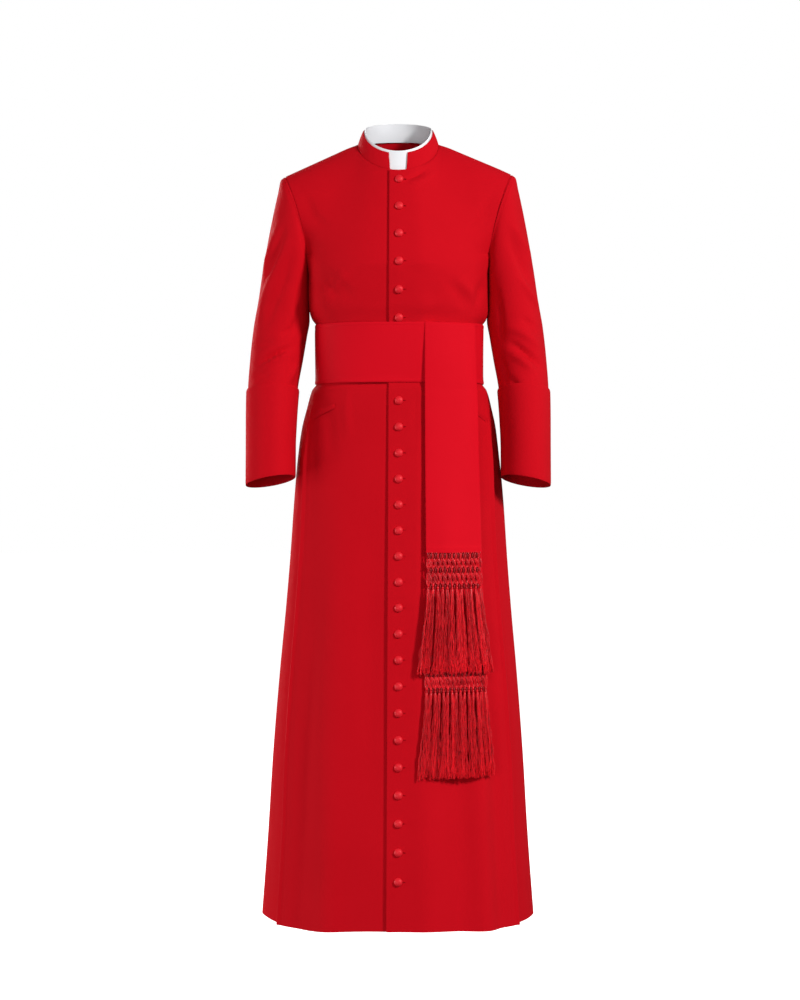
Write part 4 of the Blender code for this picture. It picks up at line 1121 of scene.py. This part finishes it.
def netPaths(rng, count):
    pitch = fringe["width"] / count
    centres = pitch * (np.arange(count) + 0.5)
    loop, mesh, knot, gather, head = (-fringe[k] for k in ("loop", "mesh", "knot", "gather", "head"))
    tie = 0.5 * (mesh + knot)
    paths, thick = [], []

    def cord(places, size=1.0):
        path = curved(places)
        paths.append(path)
        thick.append(np.full(len(path), size * rng.uniform(0.85, 1.15)))

    def crossing(k, top, foot):  # three cords from a column to the next one on each side
        for s in (-1.0, 1.0):
            end = centres[k] + s * pitch
            end = centres[k] + s * 0.42 * pitch if not 0.0 < end < fringe["width"] else end
            for w in fringe["cords"]:
                slack = rng.uniform(0.9, 1.5)
                level = 0.5 * (top + foot) + rng.uniform(-0.6, 0.6)
                start = (centres[k] + s * 0.16 * pitch + w * 0.5, top, 0.5 * s)
                middle = (0.5 * (centres[k] + end) + w * slack, level, 1.1 * s + 0.4 * w)
                cord([start, middle, (end - s * 0.16 * pitch + w * 0.5, foot, 0.4 * s)])

    for k, x in enumerate(centres):
        for s in (-1.0, 1.0):
            hung = [(x + s * 0.30 * pitch, 1.5, -0.2), (x + s * 1.1, -3.6, 0.3)]
            cord(hung + [(x + s * 0.9, loop + 3.0, 0.4), (x + s * 0.26 * pitch, loop, 0.3)], 1.05)
            cord([(x + s * 1.9, mesh, 0.2), (x + s * 0.6, tie, 0.5), (x + s * 1.9, knot, 0.2)], 0.95)
            cord([(x + s * 1.3, gather, 0.0), (x + s * 0.7, gather - 4.0, 0.4), (x + s * 0.9, head, 0.2)], 1.1)
        crossing(k, loop, mesh)
        crossing(k, knot, gather)
    for x in centres:
        for level, size in ((tie, 1.7), (gather - 2.0, 2.2), (head + 1.5, 2.2)):  # wraps round the knots
            paths.append(np.array([(x, level + h, 0.5) for h in (2.2, 1.6, 0.0, -1.6, -2.2)]))
            thick.append(np.array([0.7, 1.0, 1.1, 1.0, 0.7]) * size)
    shades = [0.0] * len(paths)
    for x in 0.5 * (centres[1:] + centres[:-1]):  # dark cords behind the gaps between the columns, painted shade in the gaps
        for top, foot in ((-1.0, loop), (mesh, knot), (gather - 1.0, head)):
            paths.append(np.array([(x, top, -2.2), (x, 0.5 * (top + foot), -2.4), (x, foot, -2.2)]))
            thick.append(np.array([1.6, 2.5, 1.6]))
            shades.append(fringe["behind"])
    return paths, thick, shades, centres


def tasselPaths(rng, centres):
    pitch = centres[1] - centres[0]
    clumps = fringe["clumps"]
    middle, head = fringe["width"] / 2.0, -fringe["head"]
    t = np.linspace(0.0, 1.0, 19)
    shoulder = smooth(t / fringe["shoulder"])
    tip = smooth((t - fringe["tipFrom"]) / (1.0 - fringe["tipFrom"]))
    half = mix(fringe["neckHalf"], fringe["bodyHalf"], shoulder) * pitch * (1.0 + fringe["widen"] * t)
    deep = mix(fringe["neckDeep"], fringe["bodyDeep"], shoulder)
    paths, thick = [], []
    for k, x in enumerate(centres):
        partner = 1.0 if k % 2 == 0 else -1.0  # tassels lean together in pairs
        partner = 0.0 if k == len(centres) - 1 and k % 2 == 0 else partner
        shift = partner * fringe["pairing"] * pitch * smooth(t / 0.15)
        sway = rng.uniform(-0.9, 0.9) * np.sin(3.2 * t + rng.uniform(0.0, 3.0)) * t
        for c in range(clumps):
            angle = 2.0 * pi * (c + rng.uniform(-0.25, 0.25)) / max(clumps - 1, 1)
            radius = fringe["clumpRadius"] if c < clumps - 1 else 0.0
            cx, cz = radius * np.cos(angle), radius * np.sin(angle)
            wander = rng.uniform(0.5, 1.5) * np.sin(t * rng.uniform(4.0, 8.0) + rng.uniform(0.0, 6.0)) * t
            fan = 1.0 + tip * rng.uniform(0.1, 1.0)
            short = rng.uniform(0.0, 6.0)
            for _ in range(fringe["strands"]):
                a, r = rng.uniform(0.0, 2.0 * pi), np.sqrt(rng.uniform(0.0, 1.0)) * fringe["strandRadius"]
                sx, sz = r * np.cos(a) * (1.0 - 0.6 * tip), r * np.sin(a) * (1.0 - 0.5 * tip)
                kink = rng.uniform(0.4, 1.2) * np.sin(t * rng.uniform(16.0, 36.0) + rng.uniform(0.0, 6.0))
                kink = kink * smooth(t / 0.2)
                px = x + shift + sway + (cx * fan + sx) * half + wander + kink
                px = middle + (px - middle) * mix(1.0, fringe["spread"], t ** 1.3)
                pz = (cz + sz) * deep + 0.5 * kink + 1.0 + 1.2 * np.sin(pi * t)
                py = head - 0.5 - (fringe["length"] - short - rng.uniform(0.0, 2.5)) * t
                paths.append(np.stack([px, py, pz], -1))
                thick.append(np.interp(t, [0.0, 0.9, 1.0], [1.0, 1.0, 0.5]) * rng.uniform(0.8, 1.25))
        wrap = [(x, head + 2.0, 0.4), (x, head - 1.0, 0.5), (x, head - 4.0, 0.6)]
        paths.append(np.array(wrap + [(x + 0.3 * partner, head - 12.0, 0.6)]))
        thick.append(np.array([2.6, 4.2, 4.8, 3.5]))
    return paths, thick


def makeFringe(name, clothFoot, stand, count, seed):
    rng = np.random.default_rng(seed)
    cords, cordThick, shades, centres = netPaths(rng, count)
    strands, strandThick = tasselPaths(rng, centres)
    cords = [lay(p, clothFoot, stand) for p in cords]
    strands = [lay(p, clothFoot, stand) for p in strands]
    net = sweepThreads(
        name + "_net", cords, cordThick, fringe["cordRadius"], fringe["cordSides"], thread, shades=shades
    )
    tassels = sweepThreads(
        name + "_tassels", strands, strandThick, fringe["threadRadius"], fringe["threadSides"], thread,
        paintedTipLight=fringe["paintedTipLight"],
    )
    return net, tassels


netBack, tasselsBack = makeFringe("fringe_back", sash["backFoot"], sash["backStand"], 15, 7)
netFront, tasselsFront = makeFringe("fringe_front", sash["frontFoot"], sash["frontStand"], 12, 11)
print("fringes made")


# Buttons and buttonholes down the centre front.

buttons = {
    "diameter": 15.5, "height": 6.0, "stand": 0.4, "xNeck": 2.0, "xHem": 0.0, "sides": 28,
    "top": -74.6, "topCount": 6, "topPitch": 51.8,
    "skirtTop": -488.0, "skirtCount": 19, "pitchLeast": 47.4, "pitchGrowth": 0.045, "pitchLeastAt": 6.5,
    "profile": [  # share of the radius, share of the height
        (0.22, 0.985), (0.45, 0.925), (0.66, 0.81), (0.83, 0.63), (0.94, 0.45),
        (0.995, 0.30), (1.0, 0.20), (0.95, 0.08), (0.80, 0.0),
    ],
    "pucker": 0.012, "puckers": 14.0, "puckerFrom": 0.8,
    "holeFrom": 3.0, "holeTo": 13.6, "holeHalf": 0.8, "holeSteps": 45, "holeStand": 0.15,
    "holeThread": 0.36, "slitShort": 0.8, "slitDeep": 0.1,
}


def buttonHeights():
    heights = [buttons["top"] - buttons["topPitch"] * k for k in range(buttons["topCount"])]
    height = buttons["skirtTop"]
    for k in range(buttons["skirtCount"]):
        heights.append(height)
        height -= buttons["pitchLeast"] + buttons["pitchGrowth"] * (k + 0.5 - buttons["pitchLeastAt"]) ** 2
    return heights


def frontLine():  # the lap's surface down the centre
    rows, steps = bodyRows(), archSteps()
    out = panels["lapRise"] + frontFold(0.0 * rows, rows) + drift(0.0 * rows, rows) * panels["frontDrift"]
    low = bodyPoint(rows, 0.0 * rows, out)
    high = archPoint(-1, 0.0 * steps, steps)
    high[:, 1] -= panels["lapRise"] * (1.0 + panels["lapSlope"] * steps)
    return np.concatenate([low, high])


centreLine = frontLine()
sideways = np.array([1.0, 0.0, 0.0])


def onFront(height):
    y = float(np.interp(height, centreLine[:, 2], centreLine[:, 1]))
    above = float(np.interp(height + 8.0, centreLine[:, 2], centreLine[:, 1]))
    below = float(np.interp(height - 8.0, centreLine[:, 2], centreLine[:, 1]))
    up = np.array([0.0, above - below, 16.0])
    up /= np.linalg.norm(up)
    return np.array([0.0, y, height]), up, np.array([0.0, -up[2], up[1]])


def buttonX(height):
    return mix(buttons["xNeck"], buttons["xHem"], float(ramp(height, 0.0, body["hem"])))


def makeButtons():
    sides, profile = buttons["sides"], buttons["profile"]
    ring = np.arange(sides) * 2.0 * pi / sides
    points, faces = [], []
    for k, height in enumerate(buttonHeights()):
        middle, up, out = onFront(height)
        middle[0] = buttonX(height)
        middle = middle + out * (body["wall"] + buttons["stand"])
        first = len(points)
        for r, h in profile:
            pucker = buttons["pucker"] * np.sin(ring * buttons["puckers"] + k) * (r > buttons["puckerFrom"])
            reach = buttons["diameter"] / 2.0 * r * (1.0 + pucker)
            for a, size in zip(ring, reach):
                spoke = sideways * np.cos(a) + up * np.sin(a)
                points.append(middle + size * spoke + out * buttons["height"] * h)
        top, foot = len(points), len(points) + 1
        points.append(middle + out * buttons["height"])
        points.append(middle.copy())
        last = first + (len(profile) - 1) * sides
        for s in range(sides):
            n = (s + 1) % sides
            faces.append((top, first + s, first + n))
            for r in range(len(profile) - 1):
                a, b = first + r * sides, first + (r + 1) * sides
                faces.append((a + s, b + s, b + n, a + n))
            faces.append((last + s, foot, last + n))
    mesh = bpy.data.meshes.new("buttons")
    mesh.from_pydata((np.array(points) * mm).tolist(), [], faces)
    mesh.materials.append(buttonCloth)
    layer = mesh.uv_layers.new(name="cloth")
    for corner in mesh.loops:
        co = mesh.vertices[corner.vertex_index].co
        layer.data[corner.index].uv = (co.x, co.z)
    mesh.shade_smooth()
    return inScene("buttons", mesh)


def makeHoles():
    edges, edgeThick, slitShades, slitShadeThick = [], [], [], []
    length, steps = buttons["holeTo"] - buttons["holeFrom"], buttons["holeSteps"]
    angle = np.linspace(0.0, 2.0 * pi, steps)
    along = length * (0.5 - 0.5 * np.cos(angle))
    rise = buttons["holeHalf"] * np.sign(np.sin(angle)) * np.abs(np.sin(angle)) ** 0.35
    for height in buttonHeights():
        middle, up, out = onFront(height)
        start = buttonX(height) + buttons["holeFrom"]
        seat = middle + out * (body["wall"] + buttons["holeStand"])
        edges.append(seat[None] + sideways[None] * (start + along)[:, None] + up[None] * rise[:, None])
        edgeThick.append(1.0 + 0.25 * np.sin(np.arange(steps) * 2.4))
        # A dark strip in each slit is painted shade in the cut.
        run = np.linspace(start + buttons["slitShort"], start + length - buttons["slitShort"], 6)
        slitShades.append(seat[None] + sideways[None] * run[:, None] - out[None] * buttons["slitDeep"])
        slitShadeThick.append(np.array([0.5, 1.0, 1.0, 1.0, 1.0, 0.5]))
    ring = sweepThreads("buttonhole_stitching", edges, edgeThick, buttons["holeThread"], 5, wool)
    slitShade = sweepThreads("buttonhole_slit_shade", slitShades, slitShadeThick, buttons["holeThread"], 4, slitShadeCloth)
    return ring, slitShade


buttonPiece = makeButtons()
holePiece, slitShadePiece = makeHoles()
print("buttons made")


# Pocket welts, slanting down towards the side seams.

pocket = {
    "height": 9.0, "wall": 1.0, "x": 117.0, "z": -498.0, "drop": 27.0, "bend": 1.15, "short": 2.5,
    "stand": 0.1, "lowLip": 0.1, "highLip": 2.0, "columns": 26,
    "rows": (-0.5, -0.44, -0.3, -0.1, 0.1, 0.3, 0.42, 0.48, 0.5),
}


def makeWelt(name, mirrored):
    up = np.array(pocket["rows"])[:, None]
    share = np.linspace(0.0, 1.0, pocket["columns"])[None, :]
    height = pocket["z"] - pocket["drop"] * (share ** pocket["bend"]) + pocket["height"] * up
    ring = alongTable(body["rings"], height)
    start = np.degrees(np.arcsin((pocket["x"] / ring[..., 0]) ** (ring[..., 3] / 2.0)))
    turn = mix(start, seamTurn(height, "front") - pocket["short"], share)
    ends = smooth(ramp(np.minimum(share, 1.0 - share), 0.0, 0.05))
    lip = mix(pocket["lowLip"], pocket["highLip"], smooth(up + 0.5)) * ends
    out = body["wall"] + lip + pocket["stand"]
    out = out + frontFold(turn * (-1.0 if mirrored else 1.0), height)
    p = waistSet(bodyPoint(height, turn, out), mirrored)
    return clothMesh(name, p, pocket["wall"], True, wool, mirrored=mirrored)


weltLeft, weltRight = makeWelt("pocket_edge_left", False), makeWelt("pocket_edge_right", True)
print("pockets made")


# What rides on what: every piece rides on the root and hides the nodes of the frame that it replaces.

def rides(piece, slot, *nodes):
    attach(piece, "root")
    if nodes:
        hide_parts(*nodes)


def panel(piece, node, slot, flat, area, held="hung", rests=()):
    rides(piece, slot, node)


panel(frontLeft, "front_left", "red_wool", (0.36, 1.46), 0.345)
panel(frontRight, "front_right", "red_wool", (0.36, 1.46), 0.345)
panel(sideLeft, "side_left", "red_wool", (0.29, 1.25), 0.205)
panel(sideRight, "side_right", "red_wool", (0.29, 1.25), 0.205)
panel(backLeft, "back_left", "red_wool", (0.36, 1.50), 0.335)
panel(backRight, "back_right", "red_wool", (0.36, 1.50), 0.335)
panel(sleeveLeft, "sleeve_left", "red_wool", (0.40, 0.60), 0.165)
panel(sleeveRight, "sleeve_right", "red_wool", (0.40, 0.60), 0.165)
panel(cuffLeft, "cuff_left", "red_wool", (0.33, 0.19), 0.06, held="folded", rests=[sleeveLeft])
panel(cuffRight, "cuff_right", "red_wool", (0.33, 0.19), 0.06, held="folded", rests=[sleeveRight])
panel(collarPiece, "collar", "red_wool", (0.44, 0.034), None, held="folded")
panel(linerPiece, "collar_liner", "white_collar_linen", (0.43, 0.040), None, held="folded")
panel(band, "sash_band", "red_sash_silk", (0.90, 0.11), None, held="stretched", rests=[frontLeft])
rides(tailFront, "red_sash_silk", "sash_tail_front")
rides(tailBack, "red_sash_silk", "sash_tail_back")
rides(netFront, "red_fringe_silk", "sash_fringe_front")
rides(tasselsFront, "red_fringe_silk")
rides(netBack, "red_fringe_silk", "sash_fringe_back")
rides(tasselsBack, "red_fringe_silk")
rides(buttonPiece, "red_button_cloth", *["button_%02d" % k for k in range(1, 26)])
rides(holePiece, "red_button_cloth")
rides(slitShadePiece, "red_wool")
rides(weltLeft, "red_wool", "pocket_welt_left")
rides(weltRight, "red_wool", "pocket_welt_right")
print("pieces ride on the garment")


# Pale floor, white air, soft lights and the camera.

studio = {
    "floor": -1.594, "half": 40.0, "tone": (0.85, 0.85, 0.85), "glow": 0.95, "world": 0.16,
    "camera": (0.0033, -5.0, -0.6726), "lens": 94.7,
    "lights": [  # place, aim, size, power
        ((3.3, -3.1, 1.4), (0.0, 0.0, -0.55), 0.8, 194.0), ((-1.8, -5.0, -1.2), (0.0, 0.0, -1.1), 1.8, 56.0),
        ((0.2, -4.8, 2.3), (0.0, 0.0, -0.7), 1.8, 36.0), ((-2.7, 4.3, 1.3), (0.0, 0.0, -0.7), 2.0, 150.0),
        ((3.9, 1.4, 0.4), (0.0, 0.0, -0.8), 2.2, 24.0), ((-3.9, -0.2, -1.0), (0.0, 0.0, -1.1), 2.0, 80.0),
    ],
}


def makeStage():
    h, z = studio["half"], studio["floor"]
    mesh = bpy.data.meshes.new("studio_floor")
    mesh.from_pydata([(-h, -h, z), (h, -h, z), (h, h, z), (-h, h, z)], [], [(0, 1, 2, 3)])
    f = Finish("studio_paper")
    f.set(Base_Color=studio["tone"], Roughness=0.9)
    f.set(Emission_Color=(1.0, 1.0, 1.0), Emission_Strength=studio["glow"])
    mesh.materials.append(f.material)
    floor = inScene("studio_floor", mesh)
    floor.visible_diffuse = floor.visible_glossy = floor.visible_shadow = False


def makeAir():  # white to the camera, and only a soft fill on the cloth
    world = bpy.data.worlds.new("studio_air")
    world.use_nodes = True
    add, link = world.node_tree.nodes.new, world.node_tree.links.new
    air, ray, strength = world.node_tree.nodes["Background"], add("ShaderNodeLightPath"), add("ShaderNodeMix")
    air.inputs["Color"].default_value = (1.0, 1.0, 1.0, 1.0)
    strength.inputs["A"].default_value, strength.inputs["B"].default_value = studio["world"], 1.0
    link(ray.outputs["Is Camera Ray"], strength.inputs["Factor"])
    link(strength.outputs["Result"], air.inputs["Strength"])
    bpy.context.scene.world = world


def aim(item, place, target):
    item.location = place
    way = np.array(target) - np.array(place)
    tilt = np.arctan2(way[2], np.hypot(way[0], way[1]))
    item.rotation_euler = (pi / 2.0 + tilt, 0.0, np.arctan2(way[1], way[0]) - pi / 2.0)


def makeLamp(name, place, target, size, power):
    lamp = bpy.data.lights.new(name, "AREA")
    lamp.shape, lamp.size, lamp.energy = "DISK", size, power
    aim(inScene(name, lamp), place, target)


def makeCamera():
    lens = bpy.data.cameras.new("camera")
    lens.lens, lens.sensor_width = studio["lens"], 36.0
    viewer = inScene("camera", lens)
    aim(viewer, studio["camera"], (studio["camera"][0], 0.0, studio["camera"][2]))
    bpy.context.scene.camera = viewer


makeStage()
makeAir()
for k, row in enumerate(studio["lights"]):
    makeLamp("softbox_%d" % k, *row)
makeCamera()
bpy.context.scene.view_settings.view_transform = "Standard"
print("studio ready")
